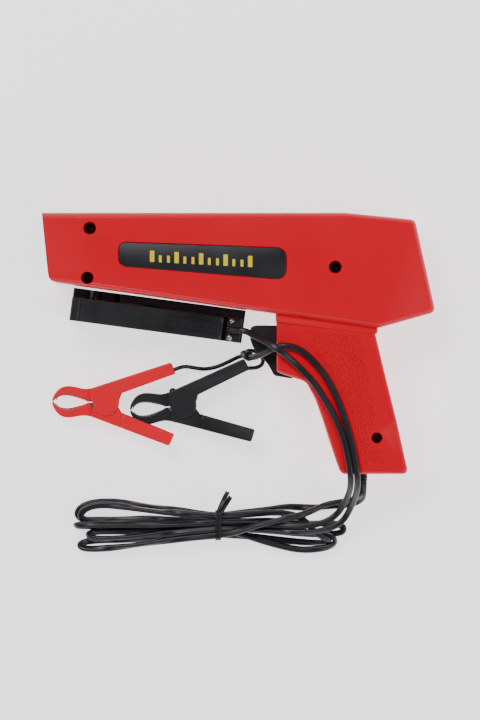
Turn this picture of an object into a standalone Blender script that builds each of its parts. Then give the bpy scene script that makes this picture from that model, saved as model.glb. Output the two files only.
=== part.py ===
"""Xenon timing light with its leads, battery clips and inductive pickup.

Metres, +Z up.  The gun lies on its right side: the muzzle points to -X, the
top of the barrel to +Y and the grip to -Y, and the left side faces +Z.
The origin is at the bottom centre of the gun's own box.
"""
import bpy
import bmesh
import math
from mathutils import Vector, Matrix

MM = 0.001

# ---------------------------------------------------------------- dimensions (mm)
BODY_T = 44.0            # thickness of the barrel, side to side
GRIP_T = 32.0            # thickness of the grip
MID = BODY_T / 2         # parting plane of the two housing halves
WALL = 2.2
GAP = 0.3                # gap between neighbouring solids
BODY_R = 4.5             # edge radius of the barrel
GRIP_R = 4.0             # edge radius of the grip
LEAD_D = 3.7             # two-core lead
WIRE_D = 2.4             # single wire to a clip
TRIGGER_PULL = 8.0       # degrees

BODY_OUTLINE = [(-130.0, 74.8), (61.5, 74.8), (101.3, 70.8), (113.0, 18.0),
                (80.6, 8.85), (-130.0, 38.7)]
MUZZLE_TOP = (-112.1, 74.8)
MUZZLE_BOTTOM = (-108.1, 35.6)
GRIP_OUTLINE = [(22.1, 26.0), (22.1, -16.3), (39.2, -22.0), (44.6, -32.3),
                (48.6, -43.7), (52.2, -55.1), (56.0, -66.5), (59.0, -74.8),
                (97.9, -74.8), (96.0, -66.5), (90.9, -43.7), (85.2, -20.8),
                (79.7, 2.0), (74.0, 26.0)]
LABEL_OUTLINE = [(-68.1, 58.0), (27.6, 54.5), (27.6, 36.5), (-68.1, 44.5)]
SCREWS = [(-84.7, 66.0, BODY_T, 3.5), (-86.1, 37.6, BODY_T, 3.5),
          (55.7, 43.7, BODY_T, 3.5), (79.6, -54.0, MID + GRIP_T / 2, 3.0)]
BOSS_R = 4.8
LENS_Y = 55.0
LENS_R = 15.0
TRIGGER_PIVOT = (29.5, -14.5)
TRIGGER_T = 9.0
BOOT = (72.3, -74.8)

PICKUP_ORIGIN = (-96.3, 22.55)      # middle of the pickup's front end
PICKUP_ANGLE = -7.62
PICKUP_PIVOT = (46.0, 16.0)         # along the pickup, above the floor
CLIP_TIP = 31.4                     # nose tip to pivot
RED_TIP, RED_ANGLE = (-107.8, -33.4), -1.3
BLACK_TIP, BLACK_ANGLE = (-62.7, -38.5), 4.86
CLIP_Z = 7.2                        # clip mid-plane above the floor

# ---------------------------------------------------------------- clean start
for ob in list(bpy.data.objects):
    bpy.data.objects.remove(ob, do_unlink=True)
for me in list(bpy.data.meshes):
    bpy.data.meshes.remove(me)

parts = bpy.data.collections.new("timing_light")
bpy.context.scene.collection.children.link(parts)
cutters = bpy.data.collections.new("cutters")
bpy.context.scene.collection.children.link(cutters)

MATS = {}


def material(name, colour, rough, metal=0.0, alpha=1.0):
    if name in MATS:
        return MATS[name]
    m = bpy.data.materials.new(name)
    m.use_nodes = True
    b = m.node_tree.nodes["Principled BSDF"]
    b.inputs["Base Color"].default_value = (*colour, 1.0)
    b.inputs["Roughness"].default_value = rough
    b.inputs["Metallic"].default_value = metal
    b.inputs["Alpha"].default_value = alpha
    MATS[name] = m
    return m


RED = lambda: material("red_plastic", (0.76, 0.02, 0.03), 0.3)
CLIPRED = lambda: material("clip_red", (0.9, 0.05, 0.055), 0.4)
BLACK = lambda: material("black_plastic", (0.012, 0.012, 0.014), 0.42)
CABLE = lambda: material("cable_black", (0.016, 0.016, 0.018), 0.45)
STEEL = lambda: material("steel", (0.6, 0.6, 0.6), 0.3, 1.0)
COPPER = lambda: material("copper", (0.8, 0.4, 0.2), 0.35, 1.0)
GREEN = lambda: material("board_green", (0.02, 0.2, 0.07), 0.5)
FERRITE = lambda: material("ferrite", (0.05, 0.05, 0.055), 0.6)
MIRROR = lambda: material("mirror", (0.9, 0.9, 0.9), 0.05, 1.0)
GLASS = lambda: material("glass", (0.9, 0.95, 1.0), 0.03, 0.0, 0.35)
BLUE = lambda: material("capacitor_blue", (0.02, 0.05, 0.25), 0.4)
YELLOW = lambda: material("tape_yellow", (0.8, 0.6, 0.05), 0.5)


# ---------------------------------------------------------------- helpers
def put(ob, mat=None, parent=None, node=True):
    for c in list(ob.users_collection):
        c.objects.unlink(ob)
    (parts if node else cutters).objects.link(ob)
    if not node:
        ob.hide_render = True
        ob.display_type = 'WIRE'
    if parent is not None:
        ob.parent = parent
    if mat is not None:
        ob.data.materials.clear()
        ob.data.materials.append(mat)
    return ob


def shade(ob, angle=35.0):
    ob.data.shade_smooth()
    ob.data.set_sharp_from_angle(angle=math.radians(angle))
    return ob


def to_mesh(curve_ob, name, flat=False):
    """The curve's solid as a mesh with its caps welded, and its flat faces in one piece."""
    bpy.context.view_layer.update()
    dg = bpy.context.evaluated_depsgraph_get()
    me = bpy.data.meshes.new_from_object(curve_ob.evaluated_get(dg))
    bm = bmesh.new()
    bm.from_mesh(me)
    bmesh.ops.remove_doubles(bm, verts=bm.verts, dist=0.000005)
    if flat:
        bmesh.ops.dissolve_limit(bm, angle_limit=0.002, verts=bm.verts, edges=bm.edges)
    bmesh.ops.recalc_face_normals(bm, faces=bm.faces)
    bm.to_mesh(me)
    bm.free()
    ob = bpy.data.objects.new(name, me)
    bpy.context.scene.collection.objects.link(ob)
    ob.matrix_world = curve_ob.matrix_world.copy()
    cu = curve_ob.data
    bpy.data.objects.remove(curve_ob, do_unlink=True)
    bpy.data.curves.remove(cu)
    me.name = name
    return ob


def prism(name, pts, z0, z1, mat=None, parent=None, node=True, plane="XY"):
    """A flat outline in mm with a thickness from z0 to z1 along the plane's normal."""
    cu = bpy.data.curves.new(name, 'CURVE')
    cu.dimensions = '2D'
    cu.fill_mode = 'BOTH'
    cu.extrude = (z1 - z0) / 2 * MM
    sp = cu.splines.new('POLY')
    sp.points.add(len(pts) - 1)
    for p, (x, y) in zip(sp.points, pts):
        p.co = (x * MM, y * MM, 0.0, 1.0)
    sp.use_cyclic_u = True
    ob = bpy.data.objects.new(name + "_outline", cu)
    bpy.context.scene.collection.objects.link(ob)
    m = to_mesh(ob, name, True)
    shift = Matrix.Translation((0, 0, (z0 + z1) / 2 * MM))
    if plane == "XY":
        turn = Matrix.Identity(4)
    elif plane == "XZ":          # outline drawn in X-Z, thickness along Y
        turn = Matrix(((1, 0, 0, 0), (0, 0, 1, 0), (0, 1, 0, 0), (0, 0, 0, 1)))
    m.data.transform(turn @ shift)
    if turn.determinant() < 0:
        m.data.flip_normals()
    return put(m, mat, parent, node)


def box(name, lo, hi, mat=None, parent=None, node=True):
    me = bpy.data.meshes.new(name)
    bm = bmesh.new()
    bmesh.ops.create_cube(bm, size=1.0)
    size = [(h - l) * MM for l, h in zip(lo, hi)]
    mid = [(h + l) / 2 * MM for l, h in zip(lo, hi)]
    bmesh.ops.scale(bm, vec=size, verts=bm.verts)
    bmesh.ops.translate(bm, vec=mid, verts=bm.verts)
    bm.to_mesh(me)
    bm.free()
    return put(bpy.data.objects.new(name, me), mat, parent, node)


def cylinder(name, r, p0, p1, seg=20, mat=None, parent=None, node=True, r2=None):
    """A cylinder or cone between two points in mm."""
    a, b = Vector(p0) * MM, Vector(p1) * MM
    d = b - a
    me = bpy.data.meshes.new(name)
    bm = bmesh.new()
    bmesh.ops.create_cone(bm, cap_ends=True, segments=seg, radius1=r * MM,
                          radius2=(r if r2 is None else r2) * MM, depth=d.length)
    q = Vector((0, 0, 1)).rotation_difference(d.normalized())
    bm.transform(Matrix.Translation((a + b) / 2) @ q.to_matrix().to_4x4())
    bm.to_mesh(me)
    bm.free()
    ob = put(bpy.data.objects.new(name, me), mat, parent, node)
    if node:
        shade(ob)
    return ob


def turned(name, profile, steps=24, mat=None, parent=None, node=True, loc=(0, 0, 0), turn=None, ring=False):
    """A profile of (radius, height) in mm, from top to bottom, turned about Z."""
    me = bpy.data.meshes.new(name)
    vs = [(r * MM, 0.0, z * MM) for r, z in profile]
    edges = [(i, i + 1) for i in range(len(vs) - 1)] + ([(len(vs) - 1, 0)] if ring else [])
    me.from_pydata(vs, edges, [])
    ob = bpy.data.objects.new(name, me)
    m = ob.modifiers.new("turn", 'SCREW')
    m.axis = 'Z'
    m.steps = steps
    m.render_steps = steps
    m.use_merge_vertices = True
    m.merge_threshold = 0.00001
    ob.location = [c * MM for c in loc]
    if turn is not None:
        ob.rotation_euler = turn
    return put(ob, mat, parent, node)


def boolean(ob, other, op='DIFFERENCE'):
    m = ob.modifiers.new(op.lower(), 'BOOLEAN')
    m.operation = op
    m.solver = 'EXACT'
    m.object = other
    return ob


def bevel(ob, width, segments=2, angle=35.0):
    m = ob.modifiers.new("bevel", 'BEVEL')
    m.width = width * MM
    m.segments = segments
    m.limit_method = 'ANGLE'
    m.angle_limit = math.radians(angle)
    m.use_clamp_overlap = True
    return ob


def empty(name, loc, angle=0.0, parent=None):
    e = bpy.data.objects.new(name, None)
    e.empty_display_size = 0.01
    e.location = [c * MM for c in loc]
    e.rotation_euler = (0, 0, math.radians(angle))
    parts.objects.link(e)
    if parent is not None:
        e.parent = parent
    return e


def offset(pts, d):
    """The outline moved inward by d; the outline may run either way round."""
    area = sum(a[0] * b[1] - b[0] * a[1] for a, b in zip(pts, pts[1:] + pts[:1]))
    s = 1.0 if area > 0 else -1.0
    out = []
    n = len(pts)
    for i in range(n):
        p0, p1, p2 = Vector(pts[i - 1]), Vector(pts[i]), Vector(pts[(i + 1) % n])
        e1, e2 = (p1 - p0).normalized(), (p2 - p1).normalized()
        n1, n2 = Vector((-e1.y, e1.x)) * s, Vector((-e2.y, e2.x)) * s
        k = d / max(0.3, 1.0 + n1.dot(n2))
        q = p1 + (n1 + n2) * k
        out.append((q.x, q.y))
    return out


def rounded(pts, r, seg=3):
    """The outline with its corners rounded to radius r."""
    out = []
    n = len(pts)
    for i in range(n):
        p0, p1, p2 = Vector(pts[i - 1]), Vector(pts[i]), Vector(pts[(i + 1) % n])
        a, b = (p0 - p1), (p2 - p1)
        ang = a.angle(b)
        t = min(r / math.tan(ang / 2), a.length * 0.45, b.length * 0.45)
        s, e = p1 + a.normalized() * t, p1 + b.normalized() * t
        for k in range(seg + 1):
            f = k / seg
            q = s * (1 - f) ** 2 + p1 * 2 * f * (1 - f) + e * f * f
            out.append((q.x, q.y))
    return out


def smooth(points, step):
    """Points about step apart on a smooth curve through the given points."""
    p = [Vector(q) for q in points]
    p = [p[0] * 2 - p[1]] + p + [p[-1] * 2 - p[-2]]
    fine = []
    for i in range(1, len(p) - 2):
        a, b, c, d = p[i - 1], p[i], p[i + 1], p[i + 2]
        for k in range(24):
            t = k / 24
            fine.append(0.5 * ((2 * b) + (c - a) * t + (2 * a - 5 * b + 4 * c - d) * t * t
                               + (3 * b - a - 3 * c + d) * t ** 3))
    fine.append(p[-2])
    total = sum((b - a).length for a, b in zip(fine, fine[1:]))
    n = max(2, int(round(total / step)))
    out, run, want, j = [fine[0]], 0.0, total / n, 1
    for a, b in zip(fine, fine[1:]):
        seg = (b - a).length
        while j < n and run + seg >= want * j:
            out.append(a.lerp(b, (want * j - run) / seg))
            j += 1
        run += seg
    out.append(fine[-1])
    return out


def tube(name, points, d, mat=None, parent=None, res=2, step=8.5):
    """A cord of diameter d along a smooth curve through the points, in mm."""
    cu = bpy.data.curves.new(name, 'CURVE')
    cu.dimensions = '3D'
    cu.bevel_depth = d / 2 * MM
    cu.bevel_resolution = res
    cu.use_fill_caps = True
    pts = smooth(points, step)
    sp = cu.splines.new('POLY')
    sp.points.add(len(pts) - 1)
    for p, q in zip(sp.points, pts):
        p.co = (q.x * MM, q.y * MM, q.z * MM, 1.0)
    ob = bpy.data.objects.new(name + "_path", cu)
    bpy.context.scene.collection.objects.link(ob)
    ob = to_mesh(ob, name)
    put(ob, mat, parent)
    return shade(ob)


# ---------------------------------------------------------------- the gun's housing
def housing(name, upper):
    body = prism(name, BODY_OUTLINE, 0.0, BODY_T, RED())
    bevel(body, BODY_R, 3)
    grip = prism(name + "_grip", GRIP_OUTLINE, MID - GRIP_T / 2, MID + GRIP_T / 2, node=False)
    bevel(grip, GRIP_R, 3)
    boolean(body, grip, 'UNION')
    # the slanted muzzle
    mx0, mx1 = MUZZLE_TOP[0], MUZZLE_BOTTOM[0]
    slope = (mx1 - mx0) / (MUZZLE_BOTTOM[1] - MUZZLE_TOP[1])
    front = [(mx0 + slope * (85 - 74.8), 85.0), (mx0 + slope * (25 - 74.8), 25.0),
             (-140.0, 25.0), (-140.0, 85.0)]
    boolean(body, prism(name + "_muzzle_cut", front, -5, BODY_T + 5, node=False))
    # the hollow
    inner = offset(BODY_OUTLINE, WALL)
    boolean(body, prism(name + "_barrel_hollow", inner, WALL, BODY_T - WALL, node=False))
    ginner = offset(GRIP_OUTLINE, WALL)
    boolean(body, prism(name + "_grip_hollow", ginner, MID - GRIP_T / 2 + WALL,
                        MID + GRIP_T / 2 - WALL, node=False))
    # screw bosses
    for i, (x, y, top, r) in enumerate(SCREWS):
        bottom = BODY_T - top
        if upper:
            b = cylinder(f"{name}_boss_{i}", BOSS_R if i < 3 else 4.4, (x, y, MID - 1), (x, y, top - 1), 16, node=False)
        else:
            b = cylinder(f"{name}_boss_{i}", 4.0, (x, y, bottom + 1), (x, y, MID + 1), 16, node=False)
        boolean(body, b, 'UNION')
    # keep one half
    if upper:
        lo, hi = (-150, -90, -10), (130, 90, MID + GAP / 2)
    else:
        lo, hi = (-150, -90, MID - GAP / 2), (130, 90, 60)
    boolean(body, box(name + "_parting", lo, hi, node=False))
    for i, (x, y, top, r) in enumerate(SCREWS):
        if upper:
            boolean(body, cylinder(f"{name}_sink_{i}", r, (x, y, 27.0), (x, y, 60), 20, node=False))
            boolean(body, cylinder(f"{name}_hole_{i}", 1.8, (x, y, 10.0), (x, y, 30), 12, node=False))
        else:
            boolean(body, cylinder(f"{name}_hole_{i}", 1.8, (x, y, 9.0), (x, y, 30), 12, node=False))
    # slot for the trigger
    slot = [(15.0, 13.5), (27.5, 13.5), (36.0, 12.0), (36.0, -15.0), (40.5, -26.0), (15.0, -26.0)]
    boolean(body, prism(name + "_slot", slot, MID - TRIGGER_T / 2 - 0.5, MID + TRIGGER_T / 2 + 0.5, node=False))
    # opening for the strain relief
    bx, by = BOOT
    boolean(body, box(name + "_outlet", (bx - 2.9, by - 5, MID - 4.9), (bx + 2.9, by + 5, MID + 4.9), node=False))
    if upper:
        boolean(body, prism(name + "_label_seat", rounded(offset(LABEL_OUTLINE, -0.3), 5.3, 4),
                            BODY_T - 1.0, BODY_T + 3, node=False))
    shade(body)
    return body


housing("housing_left", True)
housing("housing_right", False)

prism("label_plate", rounded(LABEL_OUTLINE, 5.0, 4), BODY_T - 0.7, BODY_T, BLACK())

for i, (x, y, top, r) in enumerate(SCREWS):
    s = turned(f"housing_screw_{i + 1}",
               [(0.0, 29.3), (2.2, 29.3), (2.7, 28.6), (2.7, 27.3), (1.5, 27.3), (1.5, 10.5), (0.0, 9.8)],
               12, STEEL(), loc=(x, y, 0))
    shade(s)

# ---------------------------------------------------------------- lamp
QX = (0.0, math.radians(-90), 0.0)     # turned pieces whose top faces -X

bz = box("lens_bezel", (-108.0, 38.6, WALL + 0.4), (-103.0, 72.3, BODY_T - WALL - 0.4), BLACK())
bezel_bore = turned("bezel_bore", [(0, 12), (13.8, 12), (13.8, 7.2), (LENS_R + 0.3, 7.2), (LENS_R + 0.3, -2), (0, -2)],
                    32, node=False, loc=(-100.0, LENS_Y, MID), turn=QX)
boolean(bz, bezel_bore)
bevel_m = bz

lens_profile = [(0.0, 7.7), (5.0, 7.5), (9.5, 7.0), (13.4, 6.1), (13.4, 5.9), (LENS_R, 5.9), (LENS_R, 4.2), (0.0, 4.2)]
shade(turned("lens", lens_profile, 28, GLASS(), loc=(-100.9, LENS_Y, MID), turn=QX), 20)


def dish(r0, r1, depth, n):
    """Radii and depths of a parabolic mirror from its rim to its neck."""
    out = []
    for i in range(n + 1):
        r = r1 + (r0 - r1) * i / n
        out.append((r, depth * (r * r - r1 * r1) / (r0 * r0 - r1 * r1)))
    return out[::-1]


inside = dish(14.6, 3.6, 14.0, 6)
outside = [(r + 0.9, z) for r, z in inside]
profile = outside + inside[::-1]
shade(turned("reflector", profile, 24, MIRROR(), loc=(-89.0, LENS_Y, MID), turn=QX, ring=True), 60)

cylinder("lamp_holder", 5.2, (-88.6, LENS_Y, MID), (-79.5, LENS_Y, MID), 20, BLACK())
tube("flash_tube", [(-88.9, LENS_Y - 1.9, MID), (-94.5, LENS_Y - 1.9, MID), (-97.6, LENS_Y - 1.4, MID),
                    (-98.6, LENS_Y, MID), (-97.6, LENS_Y + 1.4, MID), (-94.5, LENS_Y + 1.9, MID),
                    (-88.9, LENS_Y + 1.9, MID)], 2.0, GLASS(), res=2, step=1.6)

# ---------------------------------------------------------------- electronics
box("circuit_board", (-60.0, 35.0, 8.0), (36.0, 66.0, 9.6), GREEN())
tr = box("inverter_transformer", (-2.0, 43.0, 9.9), (18.0, 60.0, 25.0), YELLOW())
cylinder("storage_capacitor", 6.0, (-34.0, 58.0, 16.2), (-8.0, 58.0, 16.2), 18, BLUE())
cylinder("trigger_coil", 4.2, (-54.0, 44.0, 14.4), (-40.0, 44.0, 14.4), 16, COPPER())

# ---------------------------------------------------------------- trigger and switch
px, py = TRIGGER_PIVOT
pivot = empty("trigger_axis", (px, py, MID))
TRIGGER = [(27.3, 10.4), (11.0, 10.6), (8.2, 9.6), (6.8, 7.0), (6.9, 3.0), (8.8, -2.0), (12.6, -6.8),
           (16.6, -11.0), (19.0, -14.8), (20.4, -17.6), (23.5, -19.2), (31.5, -20.3), (33.6, -17.6),
           (33.2, -12.0), (30.6, -7.5), (27.3, -4.0)]
tg = prism("trigger", [(x - px, y - py) for x, y in TRIGGER], -TRIGGER_T / 2, TRIGGER_T / 2, BLACK(), pivot)
bevel(tg, 1.0, 2, 30)
boolean(tg, cylinder("trigger_bore", 1.9, (0, 0, -9), (0, 0, 9), 16, parent=pivot, node=False))
shade(tg)
cylinder("trigger_pin", 1.5, (px, py, MID - 13.4), (px, py, MID + 13.4), 14, STEEL())

sw = box("switch_body", (33.6, 1.5, MID - 5.0), (47.0, 12.5, MID + 5.0), BLACK())
boolean(sw, cylinder("switch_bore", 1.5, (30, 7.0, MID), (41.5, 7.0, MID), 14, node=False))
cylinder("switch_plunger", 1.2, (27.7, 7.0, MID), (37.2, 7.0, MID), 14, RED())


def coil(name, r, turns, start, end, wire, mat, per=9, parent=None):
    """A compression spring between two points along X."""
    pts = []
    n = int(turns * per)
    for i in range(n + 1):
        a = 2 * math.pi * i / per
        f = i / n
        pts.append((start[0] + (end[0] - start[0]) * f, start[1] + r * math.cos(a), start[2] + r * math.sin(a)))
    cu = bpy.data.curves.new(name, 'CURVE')
    cu.dimensions = '3D'
    cu.bevel_depth = wire / 2 * MM
    cu.bevel_resolution = 1
    cu.use_fill_caps = True
    sp = cu.splines.new('POLY')
    sp.points.add(len(pts) - 1)
    for p, q in zip(sp.points, pts):
        p.co = (q[0] * MM, q[1] * MM, q[2] * MM, 1.0)
    ob = bpy.data.objects.new(name + "_path", cu)
    bpy.context.scene.collection.objects.link(ob)
    ob = to_mesh(ob, name)
    return shade(put(ob, mat, parent), 60)


box("spring_seat", (38.6, -7.0, MID - 4.0), (40.4, -0.2, MID + 4.0), BLACK())
coil("trigger_spring", 2.1, 5, (28.1, -2.6, MID), (38.0, -2.6, MID), 0.6, STEEL())

# ---------------------------------------------------------------- strain relief of the two leads
bx, by = BOOT
bt = box("strain_relief", (bx - 2.5, by - 7.4, MID - 4.5), (bx + 2.5, by + 3.4, MID + 4.5), BLACK())
fl = box("relief_flange", (bx - 4.0, by + WALL + 0.5, MID - 6.0), (bx + 4.0, by + 5.0, MID + 6.0), node=False)
boolean(bt, fl, 'UNION')


# ---------------------------------------------------------------- battery clips
def arc(cx, cy, r, a0, a1, n):
    return [(cx + r * math.cos(math.radians(a0 + (a1 - a0) * i / n)),
             cy + r * math.sin(math.radians(a0 + (a1 - a0) * i / n))) for i in range(n + 1)]


OUTER = [(-31.4, 0.2), (-30.7, 2.8), (-29.0, 5.6), (-26.3, 8.1), (-22.8, 9.15), (-19.0, 8.9),
         (-15.5, 8.2), (-12.3, 7.8), (-9.0, 8.2), (35.9, 23.9), (38.6, 21.6), (40.0, 17.4)]
LEVER_TOP = [(-8.5, 8.3), (35.9, 23.9), (38.6, 21.6), (40.0, 17.4)]
EYE = [(-10.4, 0.2), (-15.5, 2.2), (-19.5, 3.3), (-23.0, 3.75), (-26.4, 3.2), (-29.0, 1.5), (-30.2, 0.2)]


def clip(colour, tip, angle, mat):
    a = math.radians(angle)
    ox, oy = tip[0] + CLIP_TIP * math.cos(a), tip[1] + CLIP_TIP * math.sin(a)
    frame = empty(f"{colour}_clip_axis", (ox, oy, CLIP_Z), angle)
    for side in (1, -1):
        half = "upper" if side > 0 else "lower"
        nm = f"{colour}_clip_{half}_cover"

        def m(pts):
            return [(x, y * side) for x, y in pts]

        # nose shell, narrow
        nose = [p for p in OUTER[:9]] + [(-6.0, 8.9), (-6.0, 5.0), (-9.2, 0.8)] + EYE
        # lever with its ear
        ear_r = 7.4
        wide = 6.9 if side > 0 else 5.6
        if side > 0:
            lever = LEVER_TOP + [(8.9, 5.6)] + arc(0, 0, ear_r, 10, -130, 7) + [(-8.5, 1.2)]
        else:
            lever = LEVER_TOP + [(8.9, 5.6)] + arc(0, 0, ear_r - 1.0, 8, -130, 7) + [(-7.0, 1.2)]
        if side > 0:
            cover = prism(nm, m(lever), -wide, wide, mat, frame)
        else:
            cover = prism(nm, m(lever), -wide, wide, mat, frame)
            rear = [(8.9, 14.1), (35.9, 23.9), (38.6, 21.6), (40.0, 17.4), (11.2, 6.5), (8.9, 7.9)]
            boolean(cover, prism(nm + "_rear", m(rear), -6.9, 6.9, parent=frame, node=False), 'UNION')
        boolean(cover, prism(nm + "_nose", m(nose), -4.0, 4.0, parent=frame, node=False), 'UNION')
        # the channel inside the lever, open on its inner side
        inw = 5.9 if side > 0 else 4.7
        chan = [(-5.0, 7.8), (34.6, 21.7), (43.0, 19.0), (43.0, 8.0), (9.0, -14.0), (-9.0, -14.0), (-9.6, 0.0), (-8.0, 6.6)]
        boolean(cover, prism(nm + "_channel", m(chan), -inw, inw, parent=frame, node=False))
        if side < 0:
            chan2 = [(11.0, 13.4), (34.6, 21.7), (43.0, 19.0), (43.0, 8.0), (11.0, 2.0)]
            boolean(cover, prism(nm + "_channel2", m(chan2), -5.9, 5.9, parent=frame, node=False))
        hollow = [(-30.0, 0.0), (-29.4, 2.5), (-27.9, 4.9), (-25.6, 7.0), (-22.7, 7.9), (-19.1, 7.6),
                  (-15.6, 7.0), (-12.3, 6.6), (-8.0, 7.0), (-8.0, 0.0)]
        boolean(cover, prism(nm + "_nose_hollow", m(hollow), -2.8, 2.8, parent=frame, node=False))
        shade(cover)

        # sheet metal half: jaw, bridge over the pivot, lever leaf
        ny = f"{colour}_clip_{half}_jaw"
        jaw = [(-29.6, 0.2), (-28.9, 1.2), (-26.5, 2.9), (-23.0, 3.45), (-19.5, 3.0), (-15.5, 1.9), (-10.4, 0.2),
               (-7.6, 0.2), (-5.6, 4.9), (3.0, 4.9), (6.0, 6.6), (10.5, 11.8), (34.0, 20.05), (33.7, 20.95), (10.0, 12.6),
               (5.2, 7.4), (2.6, 6.1),
               (-6.4, 6.1), (-8.6, 2.0), (-10.8, 1.6), (-15.9, 3.2), (-19.6, 4.3), (-23.0, 4.75), (-27.0, 4.2), (-29.2, 2.2)]
        metal = prism(ny, m(jaw), -2.3, 2.3, STEEL(), frame)
        half_w = 4.3 if side > 0 else 3.2
        inner_w = 3.5 if side > 0 else 2.4
        bridge = [(-4.2, 4.95), (3.2, 4.95), (2.4, 6.05), (-4.2, 6.05)]
        boolean(metal, prism(ny + "_bridge", m(bridge), -half_w, half_w, parent=frame, node=False), 'UNION')
        cheek = arc(0, 0, 4.1, 20, -200, 11) + [(-4.0, 5.5), (3.0, 5.5)]
        for s in (1, -1):
            z0, z1 = sorted((s * inner_w, s * half_w))
            boolean(metal, prism(f"{ny}_cheek_{s + 1}", m(cheek), z0, z1, parent=frame, node=False), 'UNION')
        boolean(metal, cylinder(ny + "_bore", 1.8, (0, 0, -9), (0, 0, 9), 14, parent=frame, node=False))
        shade(metal)
    cylinder(f"{colour}_clip_pin", 1.5, (0, 0, -4.5), (0, 0, 4.5), 14, STEEL(), frame)
    # torsion spring round the pin, a leg along each lever
    pts = [(13.0, 11.7, 1.5), (9.2, 9.2, 1.5), (4.4, 3.6, 1.5)]
    n = 9
    for i in range(3 * n - 2):
        t = math.radians(62) + 2 * math.pi * i / n
        pts.append((2.75 * math.cos(t), 2.75 * math.sin(t), 1.5 - 3.0 * i / (3 * n - 3)))
    pts += [(4.4, -3.6, -1.5), (9.2, -9.2, -1.5), (13.0, -11.7, -1.5)]
    cu = bpy.data.curves.new("spring", 'CURVE')
    cu.dimensions = '3D'
    cu.bevel_depth = 0.4 * MM
    cu.bevel_resolution = 1
    cu.use_fill_caps = True
    sp = cu.splines.new('POLY')
    sp.points.add(len(pts) - 1)
    for p, q in zip(sp.points, pts):
        p.co = (q[0] * MM, q[1] * MM, q[2] * MM, 1.0)
    ob = bpy.data.objects.new("spring_path", cu)
    bpy.context.scene.collection.objects.link(ob)
    ob = to_mesh(ob, f"{colour}_clip_spring")
    put(ob, STEEL(), frame)
    shade(ob, 60)
    return frame


clip("red", RED_TIP, RED_ANGLE, CLIPRED())
clip("black", BLACK_TIP, BLACK_ANGLE, BLACK())

# ---------------------------------------------------------------- inductive pickup
pa = math.radians(PICKUP_ANGLE)
pu, pw = PICKUP_PIVOT
pk = empty("pickup_axis", (PICKUP_ORIGIN[0] + pu * math.cos(pa), PICKUP_ORIGIN[1] + pu * math.sin(pa), pw), PICKUP_ANGLE)


def loc(pts):
    return [(u - pu, w - pw) for u, w in pts]


def b3(lo, hi):
    return (lo[0] - pu, lo[1], lo[2] - pw), (hi[0] - pu, hi[1], hi[2] - pw)


CORE_C = (12.5, 15.83)
CORE_RI, CORE_RO = 5.9, 9.0
BASE = [(0.6, 15.6), (0.0, 14.0), (0.0, 2.0), (1.6, 0.3), (99.0, 0.3), (100.4, 1.8), (100.4, 23.0), (99.0, 24.2),
        (90.9, 24.2), (90.9, 10.5), (28.0, 10.5), (24.5, 15.6)]
base = prism("pickup_body", loc(BASE), -9.0, 9.9, BLACK(), pk, plane="XZ")
bevel(base, 0.8, 1, 30)
# side wall beside the lever, behind the jaw
boolean(base, box("pickup_wall", *b3((27.6, 4.9, 6.0), (95.0, 9.9, 21.2)), parent=pk, node=False), 'UNION')
ledge = box("pickup_ledge", *b3((-5.0, 4.9, 21.5), (110.0, 12.0, 30.0)), parent=pk, node=False)
boolean(base, ledge)
notch = arc(CORE_C[0], CORE_C[1], 4.4, 0, 360, 20)[:-1]
boolean(base, prism("pickup_notch", loc(notch), -12, 12, parent=pk, node=False, plane="XZ"))


def half_ring(ri, ro, lower, grow):
    c, w = CORE_C
    if lower:
        return (arc(c, w, ro + grow, 180, 360, 12) + arc(c, w, ri - grow, 360, 180, 12))
    return (arc(c, w, ro + grow, 0, 180, 12) + arc(c, w, ri - grow, 180, 0, 12))


boolean(base, prism("core_pocket_low", loc(half_ring(CORE_RI, CORE_RO, True, 0.3)), -6.3, 2.3, parent=pk, node=False, plane="XZ"))
boolean(base, box("coil_pocket", *b3((30.0, -6.3, 3.0), (41.0, 2.3, 14.0)), parent=pk, node=False))
# two ears carry the pivot pin
for k, (v0, v1) in enumerate(((-9.0, -6.6), (2.2, 5.2))):
    boolean(base, prism(f"pickup_ear_{k}", loc([(39.5, 9.5), (52.5, 9.5), (50.0, 17.6), (46.0, 19.6), (42.0, 17.6)]),
                        v0, v1, parent=pk, node=False, plane="XZ"), 'UNION')
boolean(base, cylinder("pickup_ear_bore", 1.85, (0, -12, 0), (0, 8, 0), 14, parent=pk, node=False))
boolean(base, cylinder("lead_groove", 2.3, (88.0 - pu, -2.3, 25.2 - pw), (104.0 - pu, -2.3, 25.2 - pw), 14, parent=pk, node=False))
for k, v in enumerate((2.9, -6.7)):
    boolean(base, cylinder(f"rivet_bore_{k}", 1.3, (93.2 - pu, v, 12 - pw), (93.2 - pu, v, 30 - pw), 12, parent=pk, node=False))
shade(base)

LEVER = [(1.2, 28.3), (0.4, 27.4), (0.4, 17.4), (1.2, 16.0), (24.3, 16.0), (27.0, 21.4), (41.5, 21.3), (42.6, 14.4),
         (46.0, 12.8), (49.4, 14.4), (50.5, 21.2), (87.2, 21.4), (88.6, 22.6), (88.6, 27.2), (87.2, 28.3)]
lever = prism("pickup_lever", loc(LEVER), -9.0, 4.6, BLACK(), pk, plane="XZ")
bevel(lever, 0.8, 1, 30)
boolean(lever, prism("lever_notch", loc(notch), -12, 12, parent=pk, node=False, plane="XZ"))
boolean(lever, prism("core_pocket_high", loc(half_ring(CORE_RI, CORE_RO, False, 0.3)), -6.3, 2.3, parent=pk, node=False, plane="XZ"))
for k, (v0, v1) in enumerate(((-12.0, -6.3), (1.9, 12.0))):
    boolean(lever, box(f"lever_relief_{k}", *b3((38.0, v0, 8.0), (54.0, v1, 21.0)), parent=pk, node=False))
boolean(lever, cylinder("lever_bore", 1.85, (0, -12, 0), (0, 8, 0), 14, parent=pk, node=False))
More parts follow.
